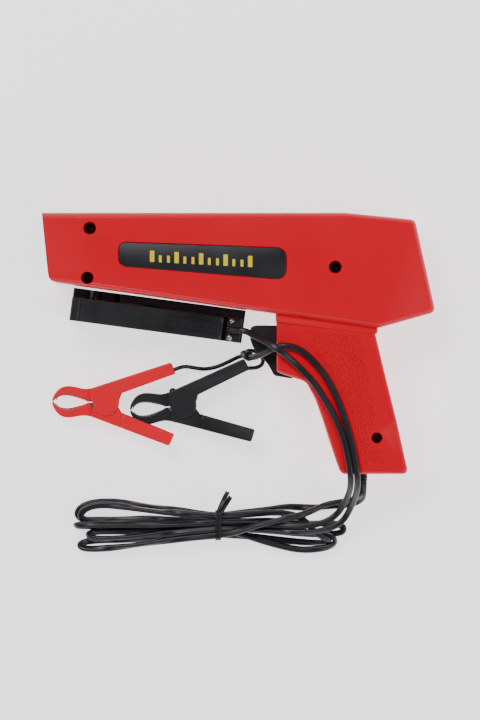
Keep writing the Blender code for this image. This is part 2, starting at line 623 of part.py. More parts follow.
boolean(lever, box("spring_window", *b3((40.0, -4.4, 10.0), (52.2, 0.0, 21.3)), parent=pk, node=False))
shade(lever)
cylinder("pickup_pin", 1.5, (0, -8.8, 0), (0, 4.4, 0), 14, STEEL(), pk)
c0 = prism("pickup_core_lower", loc([(u, min(w, 15.5)) for u, w in half_ring(CORE_RI, CORE_RO, True, 0.0)]), -6.0, 2.0, FERRITE(), pk, plane="XZ")
c1 = prism("pickup_core_upper", loc([(u, max(w, 16.1)) for u, w in half_ring(CORE_RI, CORE_RO, False, 0.0)]), -6.0, 2.0, FERRITE(), pk, plane="XZ")
cylinder("pickup_coil", 3.6, (35.5 - pu, -5.9, 7.0 - pw), (35.5 - pu, 1.9, 7.0 - pw), 16, COPPER(), pk)
pts = [(13.0, -3.9, 4.5), (6.0, -3.9, 3.8)]
n = 9
for i in range(24):
    t = math.radians(80 + 40 * i)
    pts.append((2.6 * math.cos(t), -3.8 + 3.2 * i / 23, 2.6 * math.sin(t)))
pts += [(6.0, -0.6, -3.6), (13.0, -0.6, -4.7)]
cu = bpy.data.curves.new("pspring", 'CURVE')
cu.dimensions = '3D'
cu.bevel_depth = 0.4 * MM
cu.bevel_resolution = 1
cu.use_fill_caps = True
sp = cu.splines.new('POLY')
sp.points.add(len(pts) - 1)
for p, q in zip(sp.points, pts):
    p.co = (q[0] * MM, q[1] * MM, q[2] * MM, 1.0)
ob = bpy.data.objects.new("pspring_path", cu)
bpy.context.scene.collection.objects.link(ob)
ob = to_mesh(ob, "pickup_spring")
put(ob, STEEL(), pk)
shade(ob, 60)
for k, v in enumerate((2.9, -6.7)):
    shade(turned(f"pickup_rivet_{k + 1}", [(0.0, 25.6), (1.2, 25.3), (1.9, 24.5), (1.0, 24.5), (1.0, 14.0), (0.0, 14.0)],
                 12, STEEL(), pk, loc=(93.2 - pu, v, -pw)))
cylinder("pickup_boot", 2.0, (92.9 - pu, -2.3, 25.4 - pw), (100.0 - pu, -2.3, 26.0 - pw), 16, BLACK(), pk)

# ---------------------------------------------------------------- leads
HANK = [(-94.6, -95.0), (-91.5, -90.6), (-84.0, -88.8), (-66.0, -88.8), (-50.0, -90.6), (-32.0, -94.2), (-13.5, -95.8),
        (6.0, -93.6), (18.5, -92.4), (30.0, -91.4), (40.0, -92.4), (48.0, -96.2), (56.0, -100.6), (61.0, -103.2),
        (63.0, -107.0), (61.0, -112.0), (52.0, -116.6), (42.0, -119.4), (32.0, -119.6), (20.0, -117.4), (5.0, -113.4),
        (-13.5, -111.4), (-30.0, -112.2), (-48.0, -115.6), (-64.0, -118.4), (-80.0, -119.6), (-91.0, -118.8),
        (-94.6, -114.0)]
hk = prism("lead_hank", HANK, 0.3, 13.3, CABLE())
TIE_X = (-13.2, -9.8)
for nm, lo, hi in (("tie_groove_low", (TIE_X[0] - 0.4, -130, -5), (TIE_X[1] + 0.4, -80, 1.6)),
                   ("tie_groove_high", (TIE_X[0] - 0.4, -130, 12.3), (TIE_X[1] + 0.4, -80, 20)),
                   ("tie_groove_front", (TIE_X[0] - 0.4, -130, -5), (TIE_X[1] + 0.4, -110.9, 20)),
                   ("tie_groove_back", (TIE_X[0] - 0.4, -96.6, -5), (TIE_X[1] + 0.4, -80, 20))):
    boolean(hk, box(nm, lo, hi, node=False))
tie = box("twist_tie", (TIE_X[0], -112.2, 0.3), (TIE_X[1], -95.3, 13.6), BLACK())
boolean(tie, box("tie_opening", (TIE_X[0] - 2, -111.2, 1.3), (TIE_X[1] + 2, -96.3, 12.6), node=False))
boolean(tie, prism("tie_ends", [(-12.7, -96.9), (-10.1, -96.9), (-9.9, -94.5), (-3.6, -86.0), (-5.8, -84.6), (-12.5, -93.6)],
                   12.8, 14.3, node=False), 'UNION')

bx, by = BOOT
ye = by - 8.7
tube("power_lead_outlet", [(bx, ye, MID + 2.1), (bx - 0.3, ye - 3.2, MID + 1.6), (69.6, -88.0, 20.2), (65.0, -89.4, 15.8),
                           (58.5, -90.2, 11.8), (50.6, -91.6, 9.2)], LEAD_D, CABLE(), step=5.5)
tube("pickup_lead_outlet", [(bx, ye, MID - 2.1), (bx - 0.1, ye - 2.8, MID - 3.4), (70.6, -88.8, 14.0), (66.4, -91.0, 9.0),
                            (59.6, -92.3, 5.4), (52.0, -93.0, 4.2), (47.6, -93.6, 3.8)], LEAD_D, CABLE(), step=5.5)
HZ = MID + GRIP_T / 2 + LEAD_D / 2 + 0.3
POWER = [(6.6, -7.5, 18.4), (8.8, -7.9, 24.0), (12.4, -6.7, 30.6), (16.6, -4.6, 35.6), (21.0, -2.6, 39.2),
         (26.5, -1.3, HZ + 0.2), (35.2, -3.4, HZ), (45.0, -12.1, HZ), (51.5, -20.8, HZ), (57.2, -32.3, HZ),
         (61.2, -43.7, HZ), (64.3, -55.1, HZ), (66.3, -66.5, HZ), (67.2, -76.0, HZ - 0.4), (67.2, -83.0, 34.0),
         (66.3, -89.0, 25.5), (64.6, -94.0, 18.6), (62.4, -97.6, 15.4)]
tube("power_lead", POWER, LEAD_D, CABLE(), step=8.6)
PICK = [(4.6, 7.4, 27.0), (8.2, 5.0, 30.6), (12.0, 2.9, 35.4), (16.6, 0.6, 40.6), (21.6, -2.3, 43.9),
        (27.0, -6.4, 43.2), (32.0, -10.8, 41.2), (37.0, -15.6, HZ), (44.3, -23.7, HZ), (50.0, -32.6, HZ),
        (55.8, -43.7, HZ), (60.0, -55.1, HZ), (62.3, -66.5, HZ), (63.3, -76.0, HZ - 0.4), (63.2, -83.0, 33.4),
        (62.0, -89.0, 24.0), (59.6, -93.4, 17.2), (57.2, -96.6, 15.0)]
tube("pickup_lead", PICK, LEAD_D, CABLE(), step=8.6)

cylinder("lead_splitter", 2.9, (6.3, -7.2, 17.6), (3.4, -5.9, 8.4), 16, BLACK(), r2=2.3)
tube("red_clip_wire", [(2.4, -6.9, 7.3), (-0.2, -7.8, 5.0), (-5.0, -10.2, 3.4), (-12.0, -13.2, 1.8), (-19.0, -14.6, 1.6),
                       (-25.0, -13.9, 3.4), (-30.2, -12.7, 6.0), (-33.4, -13.4, 7.1), (-36.06, -14.72, 7.2)], WIRE_D, CABLE(), step=4.6)
tube("black_clip_wire", [(4.1, -4.7, 7.2), (6.2, -3.9, 5.4), (10.6, -4.6, 4.4), (14.0, -7.4, 4.4), (14.4, -11.4, 5.0),
                         (11.2, -13.7, 6.6), (6.9, -14.3, 7.2), (2.3, -15.1, 7.2)], WIRE_D, CABLE(), step=3.6)
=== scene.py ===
"""Looks of the timing light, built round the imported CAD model.  Lengths are in millimetres until they reach Blender."""
import bpy
import bmesh
import math
from mathutils import Vector, Matrix


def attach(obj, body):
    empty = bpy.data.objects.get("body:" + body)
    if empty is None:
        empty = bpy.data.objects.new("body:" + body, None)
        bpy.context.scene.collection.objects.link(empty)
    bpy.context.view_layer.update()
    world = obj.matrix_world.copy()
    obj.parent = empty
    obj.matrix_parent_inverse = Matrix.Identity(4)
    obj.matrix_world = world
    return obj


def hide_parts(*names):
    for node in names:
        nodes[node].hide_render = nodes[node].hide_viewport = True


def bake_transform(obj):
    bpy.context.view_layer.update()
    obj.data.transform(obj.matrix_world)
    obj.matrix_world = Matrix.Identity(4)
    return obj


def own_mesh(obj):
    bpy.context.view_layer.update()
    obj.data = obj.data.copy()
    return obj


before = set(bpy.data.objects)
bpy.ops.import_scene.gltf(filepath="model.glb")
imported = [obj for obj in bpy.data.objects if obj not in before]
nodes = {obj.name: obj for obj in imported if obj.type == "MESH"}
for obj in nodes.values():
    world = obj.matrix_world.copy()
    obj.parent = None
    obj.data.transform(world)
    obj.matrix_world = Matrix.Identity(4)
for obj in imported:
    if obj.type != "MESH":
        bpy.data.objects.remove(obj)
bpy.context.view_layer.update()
scene = bpy.context.scene
MM = 0.001

# ---------------------------------------------------------------- sizes shared with the CAD
BODY_T, GRIP_T, MID, WALL, GAP = 44.0, 32.0, 22.0, 2.2, 0.3
LEAD_D, WIRE_D = 3.7, 2.4
BODY_OUTLINE = [(-130.0, 74.8), (61.5, 74.8), (101.3, 70.8), (113.0, 18.0), (80.6, 8.85), (-130.0, 38.7)]
GRIP_OUTLINE = [(22.1, 26.0), (22.1, -16.3), (39.2, -22.0), (44.6, -32.3), (48.6, -43.7), (52.2, -55.1),
                (56.0, -66.5), (59.0, -74.8), (97.9, -74.8), (96.0, -66.5), (90.9, -43.7), (85.2, -20.8),
                (79.7, 2.0), (74.0, 26.0)]
LABEL_OUTLINE = [(-68.1, 58.0), (27.6, 54.5), (27.6, 36.5), (-68.1, 44.5)]
SCREWS = [(-84.7, 66.0, BODY_T, 3.5), (-86.1, 37.6, BODY_T, 3.5), (55.7, 43.7, BODY_T, 3.5), (79.6, -54.0, 38.0, 3.0)]
LENS_Y = 55.0
TRIGGER_PIVOT = (29.5, -14.5)
BOOT = (72.3, -74.8)
PICKUP_ORIGIN, PICKUP_ANGLE, PICKUP_PIVOT = (-96.3, 22.55), -7.62, (46.0, 16.0)
CLIP_TIP, CLIP_Z = 31.4, 7.2
RED_TIP, RED_ANGLE = (-107.8, -33.4), -1.3
BLACK_TIP, BLACK_ANGLE = (-62.7, -38.5), 4.86
HZ = 40.15


# ---------------------------------------------------------------- materials
def socket(n, name):
    return n.inputs[name]


def material(name, colour, rough, metal=0.0, bump=0.15, grain=900.0, spread=0.08, tint=0.10, blotch=35.0,
             coat=0.0, transmission=0.0, ior=1.5, alpha=1.0, distance=0.00012, spec=0.5, edge_highlight=0.0):
    m = bpy.data.materials.new(name)
    m.use_nodes = True
    nt = m.node_tree
    b = nt.nodes["Principled BSDF"]
    socket(b, "Metallic").default_value = metal
    socket(b, "IOR").default_value = ior
    socket(b, "Specular IOR Level").default_value = spec
    socket(b, "Coat Weight").default_value = coat
    socket(b, "Coat Roughness").default_value = 0.12
    socket(b, "Transmission Weight").default_value = transmission
    socket(b, "Alpha").default_value = alpha
    tc = nt.nodes.new("ShaderNodeTexCoord")
    fine = nt.nodes.new("ShaderNodeTexNoise")
    fine.inputs["Scale"].default_value = grain
    fine.inputs["Detail"].default_value = 3.0
    broad = nt.nodes.new("ShaderNodeTexNoise")
    broad.inputs["Scale"].default_value = blotch
    broad.inputs["Detail"].default_value = 4.0
    nt.links.new(tc.outputs["Object"], fine.inputs["Vector"])
    nt.links.new(tc.outputs["Object"], broad.inputs["Vector"])
    r = nt.nodes.new("ShaderNodeMapRange")
    r.inputs["From Min"].default_value = 0.3
    r.inputs["From Max"].default_value = 0.7
    r.inputs["To Min"].default_value = max(0.02, rough - spread)
    r.inputs["To Max"].default_value = min(1.0, rough + spread)
    nt.links.new(broad.outputs["Fac"], r.inputs["Value"])
    nt.links.new(r.outputs["Result"], b.inputs["Roughness"])
    mix = nt.nodes.new("ShaderNodeMix")
    mix.data_type = 'RGBA'
    mix.inputs["A"].default_value = (*[c * (1 - tint) for c in colour], 1.0)
    mix.inputs["B"].default_value = (*[min(1.0, c * (1 + tint)) for c in colour], 1.0)
    nt.links.new(broad.outputs["Fac"], mix.inputs["Factor"])
    out = mix.outputs["Result"]
    # Painted highlight: convex edges, found by Pointiness, get a lighter colour mixed in up to this amount. It stands
    # in for the sheen of light on rounded edges and fillets.
    if edge_highlight:
        geo = nt.nodes.new("ShaderNodeNewGeometry")
        er = nt.nodes.new("ShaderNodeMapRange")
        er.inputs["From Min"].default_value = 0.53
        er.inputs["From Max"].default_value = 0.62
        er.inputs["To Max"].default_value = edge_highlight
        nt.links.new(geo.outputs["Pointiness"], er.inputs["Value"])
        edge_highlight_mix = nt.nodes.new("ShaderNodeMix")
        edge_highlight_mix.data_type = 'RGBA'
        edge_highlight_mix.inputs["B"].default_value = (*[min(1.0, c * 1.2 + 0.12) for c in colour], 1.0)
        nt.links.new(er.outputs["Result"], edge_highlight_mix.inputs["Factor"])
        nt.links.new(out, edge_highlight_mix.inputs["A"])
        out = edge_highlight_mix.outputs["Result"]
    nt.links.new(out, b.inputs["Base Color"])
    bp = nt.nodes.new("ShaderNodeBump")
    bp.inputs["Strength"].default_value = bump
    bp.inputs["Distance"].default_value = distance
    nt.links.new(fine.outputs["Fac"], bp.inputs["Height"])
    nt.links.new(bp.outputs["Normal"], b.inputs["Normal"])
    return m


RED = material("red_gloss", (0.81, 0.0007, 0.018), 0.24, bump=0.04, grain=500, tint=0.03, coat=0.1, spread=0.04, edge_highlight=0.12, spec=0.36)
GRIPRED = material("red_grip", (0.78, 0.0008, 0.020), 0.42, bump=0.08, grain=900, tint=0.05, spec=0.25)
LABELM = material("label_black", (0.016, 0.016, 0.022), 0.34, bump=0.12, grain=1400, tint=0.15)
MARK = material("label_yellow", (0.95, 0.70, 0.0), 0.45, bump=0.15, grain=2200, tint=0.06)
BLACK = material("black_satin", (0.011, 0.011, 0.014), 0.40, bump=0.22, grain=1100, tint=0.2, edge_highlight=0.10)
TRIGM = material("trigger_black", (0.012, 0.011, 0.013), 0.33, bump=0.16, grain=900, tint=0.2, edge_highlight=0.12)
PICKM = material("pickup_black", (0.010, 0.010, 0.013), 0.36, bump=0.25, grain=1300, tint=0.2, edge_highlight=0.14)
CABLE = material("cable_black", (0.014, 0.014, 0.018), 0.36, bump=0.18, grain=700, tint=0.25, spread=0.1)
RELIEF = material("relief_black", (0.012, 0.012, 0.013), 0.5, bump=0.2, grain=900)
TIE = material("tie_black", (0.012, 0.012, 0.014), 0.33, bump=0.12, grain=1500)
VINYLR = material("vinyl_red", (1.0, 0.005, 0.024), 0.38, bump=0.12, grain=800, tint=0.05, coat=0.04, edge_highlight=0.25, spec=0.34)
VINYLB = material("vinyl_black", (0.012, 0.012, 0.015), 0.40, bump=0.2, grain=800, tint=0.2, edge_highlight=0.12)
STEEL = material("steel", (0.62, 0.62, 0.63), 0.28, 1.0, bump=0.05, grain=1600, tint=0.08)
NICKEL = material("nickel", (0.80, 0.79, 0.77), 0.22, 1.0, bump=0.05, grain=1300, tint=0.08)
SCREWM = material("screw_dark", (0.10, 0.09, 0.09), 0.4, 1.0, bump=0.3, grain=1500, tint=0.2)
RIVETM = material("rivet_bright", (0.42, 0.42, 0.43), 0.34, 1.0, bump=0.15, grain=1500)
COPPER = material("copper", (0.72, 0.30, 0.13), 0.3, 1.0, bump=0.5, grain=2500, tint=0.1)
FERRITE = material("ferrite", (0.035, 0.034, 0.036), 0.55, bump=0.5, grain=2500, tint=0.25)
MIRROR = material("mirror", (0.9, 0.9, 0.9), 0.06, 1.0, bump=0.03, grain=200, tint=0.02, spread=0.02)
GLASS = material("glass", (0.95, 0.97, 1.0), 0.05, bump=0.02, grain=120, tint=0.01, spread=0.02, transmission=1.0, ior=1.49)
BOARD = material("board_green", (0.02, 0.16, 0.06), 0.4, bump=0.4, grain=1800, tint=0.25)
TAPE = material("tape_yellow", (0.75, 0.52, 0.04), 0.45, bump=0.4, grain=1500, tint=0.1)
SLEEVE = material("sleeve_blue", (0.02, 0.05, 0.22), 0.35, bump=0.15, grain=1500, tint=0.1)
PLUNGER = material("plunger_red", (0.55, 0.03, 0.03), 0.4, bump=0.2, grain=1500)


# ---------------------------------------------------------------- mesh helpers
def add(name, me, mats=()):
    ob = bpy.data.objects.new(name, me)
    scene.collection.objects.link(ob)
    for m in mats:
        ob.data.materials.append(m)
    return ob


def drop(ob):
    bpy.data.objects.remove(ob, do_unlink=True)


def to_mesh(curve_ob, name, flat=False):
    bpy.context.view_layer.update()
    dg = bpy.context.evaluated_depsgraph_get()
    me = bpy.data.meshes.new_from_object(curve_ob.evaluated_get(dg))
    bm = bmesh.new()
    bm.from_mesh(me)
    bmesh.ops.remove_doubles(bm, verts=bm.verts, dist=0.000005)
    if flat:
        bmesh.ops.dissolve_limit(bm, angle_limit=0.002, verts=bm.verts, edges=bm.edges)
    bmesh.ops.recalc_face_normals(bm, faces=bm.faces)
    bm.to_mesh(me)
    bm.free()
    me.name = name
    drop(curve_ob)
    return me


def prism(name, pts, z0, z1, plane="XY"):
    """A flat outline in mm with a thickness from z0 to z1."""
    cu = bpy.data.curves.new(name, 'CURVE')
    cu.dimensions = '2D'
    cu.fill_mode = 'BOTH'
    cu.extrude = (z1 - z0) / 2 * MM
    sp = cu.splines.new('POLY')
    sp.points.add(len(pts) - 1)
    for p, (x, y) in zip(sp.points, pts):
        p.co = (x * MM, y * MM, 0.0, 1.0)
    sp.use_cyclic_u = True
    ob = bpy.data.objects.new(name + "_outline", cu)
    scene.collection.objects.link(ob)
    me = to_mesh(ob, name, True)
    shift = Matrix.Translation((0, 0, (z0 + z1) / 2 * MM))
    if plane == "XZ":
        me.transform(Matrix(((1, 0, 0, 0), (0, 0, 1, 0), (0, 1, 0, 0), (0, 0, 0, 1))) @ shift)
        me.flip_normals()
    else:
        me.transform(shift)
    return add(name, me)


def box(name, lo, hi):
    me = bpy.data.meshes.new(name)
    bm = bmesh.new()
    bmesh.ops.create_cube(bm, size=1.0)
    bmesh.ops.scale(bm, vec=[(h - l) * MM for l, h in zip(lo, hi)], verts=bm.verts)
    bmesh.ops.translate(bm, vec=[(h + l) / 2 * MM for l, h in zip(lo, hi)], verts=bm.verts)
    bm.to_mesh(me)
    bm.free()
    return add(name, me)


def cylinder(name, r, p0, p1, seg=32, r2=None):
    a, b = Vector(p0) * MM, Vector(p1) * MM
    d = b - a
    me = bpy.data.meshes.new(name)
    bm = bmesh.new()
    bmesh.ops.create_cone(bm, cap_ends=True, segments=seg, radius1=r * MM, radius2=(r if r2 is None else r2) * MM, depth=d.length)
    q = Vector((0, 0, 1)).rotation_difference(d.normalized())
    bm.transform(Matrix.Translation((a + b) / 2) @ q.to_matrix().to_4x4())
    bm.to_mesh(me)
    bm.free()
    return add(name, me)


def lathe(name, profile, seg, origin, axis):
    """A profile of (radius, height) in mm from top to bottom, both ends on the axis, turned about the axis."""
    q = Vector((0, 0, 1)).rotation_difference(Vector(axis).normalized()).to_matrix()
    o = Vector(origin)
    me = bpy.data.meshes.new(name)
    bm = bmesh.new()
    rings = []
    for r, h in profile:
        if r < 1e-6:
            rings.append([bm.verts.new((o + q @ Vector((0, 0, h))) * MM)])
        else:
            rings.append([bm.verts.new((o + q @ Vector((r * math.cos(2 * math.pi * k / seg), r * math.sin(2 * math.pi * k / seg), h))) * MM)
                          for k in range(seg)])
    for a, b in zip(rings, rings[1:]):
        for k in range(seg):
            f = [a[k % len(a)], a[(k + 1) % len(a)], b[(k + 1) % len(b)], b[k % len(b)]]
            f = [v for i, v in enumerate(f) if v not in f[:i]]
            if len(f) > 2:
                bm.faces.new(f)
    bmesh.ops.recalc_face_normals(bm, faces=bm.faces)
    bm.to_mesh(me)
    bm.free()
    return add(name, me)


def boolean(ob, other, op='DIFFERENCE'):
    m = ob.modifiers.new(op.lower(), 'BOOLEAN')
    m.operation = op
    m.solver = 'EXACT'
    m.object = other
    return other


def bevel(ob, width, segments=4, angle=60.0):
    m = ob.modifiers.new("bevel", 'BEVEL')
    m.width = width * MM
    m.segments = segments
    m.limit_method = 'ANGLE'
    m.angle_limit = math.radians(angle)
    m.use_clamp_overlap = True
    return ob


def apply(ob, smooth=30.0):
    """Puts the modifiers' result in the mesh, and removes the cutters that they used."""
    bpy.context.view_layer.update()
    dg = bpy.context.evaluated_depsgraph_get()
    me = bpy.data.meshes.new_from_object(ob.evaluated_get(dg))
    used = [m.object for m in ob.modifiers if m.type == 'BOOLEAN']
    ob.modifiers.clear()
    old = ob.data
    me.name = ob.name
    ob.data = me
    bpy.data.meshes.remove(old)
    for u in used:
        drop(u)
    me.transform(ob.matrix_world)
    ob.matrix_world = Matrix.Identity(4)
    me.shade_smooth()
    me.set_sharp_from_angle(angle=math.radians(smooth))
    return ob


def flats(ob):
    """Normals weighted by face area, so that large flat faces shade flat beside their rounded edges."""
    w = ob.modifiers.new("weighted", 'WEIGHTED_NORMAL')
    w.mode = 'FACE_AREA'
    w.weight = 100
    w.keep_sharp = True
    bpy.context.view_layer.update()
    me = bpy.data.meshes.new_from_object(ob.evaluated_get(bpy.context.evaluated_depsgraph_get()))
    ob.modifiers.clear()
    old = ob.data
    me.name = ob.name
    ob.data = me
    bpy.data.meshes.remove(old)
    return ob


def finish(ob, body, slot, mat, *cad):
    ob.data.materials.clear()
    ob.data.materials.append(mat)
    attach(ob, body)
    if cad:
        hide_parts(*cad)
    return ob


def join(name, obs):
    """One mesh of several objects."""
    me = bpy.data.meshes.new(name)
    bm = bmesh.new()
    for o in obs:
        t = o.data.copy()
        t.transform(o.matrix_world)
        bm.from_mesh(t)
        bpy.data.meshes.remove(t)
        drop(o)
    bm.to_mesh(me)
    bm.free()
    return add(name, me)


def offset(pts, d):
    area = sum(a[0] * b[1] - b[0] * a[1] for a, b in zip(pts, pts[1:] + pts[:1]))
    s = 1.0 if area > 0 else -1.0
    out = []
    n = len(pts)
    for i in range(n):
        p0, p1, p2 = Vector(pts[i - 1]), Vector(pts[i]), Vector(pts[(i + 1) % n])
        e1, e2 = (p1 - p0).normalized(), (p2 - p1).normalized()
        n1, n2 = Vector((-e1.y, e1.x)) * s, Vector((-e2.y, e2.x)) * s
        q = p1 + (n1 + n2) * (d / max(0.3, 1.0 + n1.dot(n2)))
        out.append((q.x, q.y))
    return out


def rounded(pts, r, seg=5):
    """Corners rounded; r is one radius, or one for each corner."""
    out = []
    n = len(pts)
    for i in range(n):
        p0, p1, p2 = Vector(pts[i - 1]), Vector(pts[i]), Vector(pts[(i + 1) % n])
        rr = r if not isinstance(r, (list, tuple)) else r[i]
        a, b = (p0 - p1), (p2 - p1)
        t = min(rr / math.tan(a.angle(b) / 2), a.length * 0.48, b.length * 0.48)
        if t < 0.01:
            out.append((p1.x, p1.y))
            continue
        s, e = p1 + a.normalized() * t, p1 + b.normalized() * t
        for k in range(seg + 1):
            f = k / seg
            q = s * (1 - f) ** 2 + p1 * 2 * f * (1 - f) + e * f * f
            out.append((q.x, q.y))
    return out


def smooth(points, step):
    """Points about step apart on a smooth curve through the given points."""
    p = [Vector(q) for q in points]
    p = [p[0] * 2 - p[1]] + p + [p[-1] * 2 - p[-2]]
    fine = []
    for i in range(1, len(p) - 2):
        a, b, c, d = p[i - 1], p[i], p[i + 1], p[i + 2]
        t01, t12, t23 = [max(1e-4, (q - s).length) ** 0.5 for s, q in ((a, b), (b, c), (c, d))]
        m1 = (c - b) / t12 - (c - a) / (t01 + t12) + (b - a) / t01
        m2 = (d - c) / t23 - (d - b) / (t12 + t23) + (c - b) / t12
        m1, m2 = m1 * t12, m2 * t12
        for k in range(24):
            t = k / 24
            fine.append((2 * t ** 3 - 3 * t * t + 1) * b + (t ** 3 - 2 * t * t + t) * m1
                        + (3 * t * t - 2 * t ** 3) * c + (t ** 3 - t * t) * m2)
    fine.append(p[-2])
    total = sum((b - a).length for a, b in zip(fine, fine[1:]))
    n = max(2, int(round(total / step)))
    out, run, want, j = [fine[0]], 0.0, total / n, 1
    for a, b in zip(fine, fine[1:]):
        seg = (b - a).length
        while j < n and run + seg >= want * j:
            out.append(a.lerp(b, (want * j - run) / seg))
            j += 1
        run += seg
    out.append(fine[-1])
    return out


def relax(pts, rounds, keep=6):
    """Evens out the curvature of a run of points, with its ends held."""
    p = [q.copy() for q in pts]
    for _ in range(rounds):
        q = [v.copy() for v in p]
        for i in range(1, len(p) - 1):
            q[i] = p[i] * 0.5 + (p[i - 1] + p[i + 1]) * 0.25
        p = q
    return p


def sweep(name, pts, profile, twist=None, scale=None, flat_from=None):
    """A closed profile of (a, b) in mm carried along points in mm; b is kept as near upright as the line lets it."""
    me = bpy.data.meshes.new(name)
    bm = bmesh.new()
    n = len(pts)
    side = None
    rings = []
    for i in range(n):
        t = (pts[min(n - 1, i + 1)] - pts[max(0, i - 1)]).normalized()
        want = t.cross(Vector((0, 0, 1)))
        if side is None:
            side = want.normalized() if want.length > 0.1 else t.orthogonal().normalized()
        side = (side - t * side.dot(t)).normalized()
        if want.length > 0.25:
            w = want.normalized()
            if w.dot(side) < 0:
                w = -w
            side = side.lerp(w, 0.10 * want.length).normalized()
            side = (side - t * side.dot(t)).normalized()
        up = side.cross(t)
        a = twist(i / (n - 1)) if twist else 0.0
        s1 = side * math.cos(a) + up * math.sin(a)
        u1 = up * math.cos(a) - side * math.sin(a)
        k = scale(i / (n - 1)) if scale else 1.0
        ring = [bm.verts.new((pts[i] + (s1 * x + u1 * y) * k) * MM) for x, y in profile]
        rings.append(ring)
    m = len(profile)
    for a, b in zip(rings, rings[1:]):
        for k in range(m):
            bm.faces.new((a[k], a[(k + 1) % m], b[(k + 1) % m], b[k]))
    bm.faces.new(rings[0][::-1])
    bm.faces.new(rings[-1])
    bmesh.ops.recalc_face_normals(bm, faces=bm.faces)
    bm.to_mesh(me)
    bm.free()
    me.shade_smooth()
    me.set_sharp_from_angle(angle=math.radians(62))
    return add(name, me)


def circle(r, n=14):
    return [(r * math.cos(2 * math.pi * k / n), r * math.sin(2 * math.pi * k / n)) for k in range(n)]


def arc(cx, cy, r, a0, a1, n):
    return [(cx + r * math.cos(math.radians(a0 + (a1 - a0) * i / n)),
             cy + r * math.sin(math.radians(a0 + (a1 - a0) * i / n))) for i in range(n + 1)]


def length(pts):
    return sum((b - a).length for a, b in zip(pts, pts[1:])) * MM


# ---------------------------------------------------------------- camera
cam = bpy.data.cameras.new("camera")
cam_ob = bpy.data.objects.new("camera", cam)
scene.collection.objects.link(cam_ob)
DIST = 2.4
cam.sensor_fit = 'VERTICAL'
cam.sensor_height = 36.0
cam.lens = 36.0 * (DIST - 0.044) / 0.4112
cam.clip_end = 20
cam_ob.location = (0.0012, -0.0094, DIST)
scene.camera = cam_ob

# ---------------------------------------------------------------- leads
POWER = [(6.5, -7.3, 14.8), (6.6, -7.5, 18.4), (8.8, -7.9, 24.0), (12.4, -6.7, 30.6), (16.6, -4.6, 35.6), (21.0, -2.6, 39.2),
         (26.5, -1.3, HZ + 0.2), (35.2, -3.4, HZ), (45.0, -12.1, HZ), (51.5, -20.8, HZ), (57.2, -32.3, HZ),
         (61.3, -43.7, HZ), (64.6, -55.1, HZ), (67.0, -66.5, HZ), (68.3, -76.0, HZ - 0.4), (68.4, -83.0, 34.0),
         (67.2, -89.0, 25.5), (65.0, -94.0, 18.6), (62.4, -97.6, 15.4)]
PICK = [(-0.5, 7.45, 25.9), (4.6, 7.4, 27.0), (8.2, 5.0, 30.6), (12.0, 2.9, 35.4), (16.6, 0.6, 40.6), (21.6, -2.3, 43.9),
        (27.0, -6.4, 43.2), (32.0, -10.8, 41.2), (37.0, -15.6, HZ), (44.3, -23.7, HZ), (50.0, -32.6, HZ),
        (56.2, -43.7, HZ), (60.6, -55.1, HZ), (63.2, -66.5, HZ), (64.5, -76.0, HZ - 0.4), (64.4, -83.0, 33.4),
        (62.8, -89.0, 24.0), (59.9, -93.4, 17.2), (57.2, -96.6, 15.0)]
A_HANK = [(72.3, -78.6, 24.1), (72.3, -83.5, 24.1), (72.0, -86.7, 23.6), (69.6, -88.0, 20.2), (65.0, -89.4, 15.8),
          (58.5, -90.2, 11.8), (50.6, -91.6, 9.4),
          (44, -94.6, 11.4), (35, -98.0, 13.8), (27, -99.8, 15.0), (20, -101.6, 15.2), (10, -104.2, 15.0), (3, -106.2, 14.4),
          (-4, -108.0, 12.6), (-11.5, -109.3, 10.6), (-21, -110.2, 10.2), (-32, -111.4, 9.8), (-50, -113.9, 8.4),
          (-65, -115.9, 7.4), (-80, -117.2, 6.6), (-87, -117.2, 6.0), (-90.6, -116.2, 5.2), (-91.2, -115.0, 4.4),
          (-89.4, -113.9, 3.6), (-85, -113.0, 3.1), (-78, -112.4, 3.0), (-65, -112.2, 3.0), (-50, -111.6, 3.1),
          (-32, -110.4, 3.2), (-11.5, -109.4, 3.2), (6, -110.2, 3.2), (20, -111.8, 3.2), (35, -113.4, 3.2), (45, -113.9, 3.4),
          (50.4, -113.6, 4.6), (52.6, -112.8, 7.0), (50.4, -111.7, 9.4), (46.4, -109.9, 10.6), (42.6, -105.8, 10.7),
          (37.4, -100.6, 10.2), (30, -97.3, 9.6), (20, -96.5, 9.8), (6, -97.3, 10.5), (-11.5, -98.3, 10.7),
          (-22, -97.8, 10.6), (-32, -97.0, 10.4), (-49, -95.6, 9.4), (-65, -93.2, 8.6), (-76, -92.1, 8.2),
          (-84, -93.0, 8.0), (-88.6, -95.4, 7.8), (-90.4, -98.2, 7.5), (-88.6, -100.8, 7.2), (-84, -101.6, 6.9),
          (-76, -101.5, 6.9), (-65, -101.1, 6.9), (-49, -100.6, 6.9), (-32, -100.9, 6.9), (-11.5, -102.0, 6.95),
          (6, -102.6, 6.95), (20, -104.4, 6.9), (35, -107.0, 6.9), (46, -108.6, 6.9), (52.4, -109.6, 6.8),
          (55.7, -111.4, 6.6), (56.2, -113.4, 6.3), (54, -115.4, 6.0), (47, -117.2, 5.6), (35, -117.7, 5.4),
          (20, -114.4, 5.9), (6, -110.2, 6.8), (-11.5, -105.9, 6.95), (-32, -106.9, 6.9), (-50, -107.4, 6.0),
          (-65, -107.3, 4.5), (-78, -107.4, 3.8), (-84.0, -108.0, 4.4), (-86.4, -109.5, 6.9), (-84.0, -111.0, 9.6),
          (-78, -111.3, 10.7), (-65, -110.5, 10.8), (-50, -109.2, 10.8), (-32, -107.4, 10.8), (-11.5, -105.7, 10.7),
          (6, -106.0, 10.8), (20, -106.8, 12.0), (35, -107.6, 14.2), (48, -106.6, 14.9), (55, -104.4, 14.9), (60.2, -100.8, 14.9)]
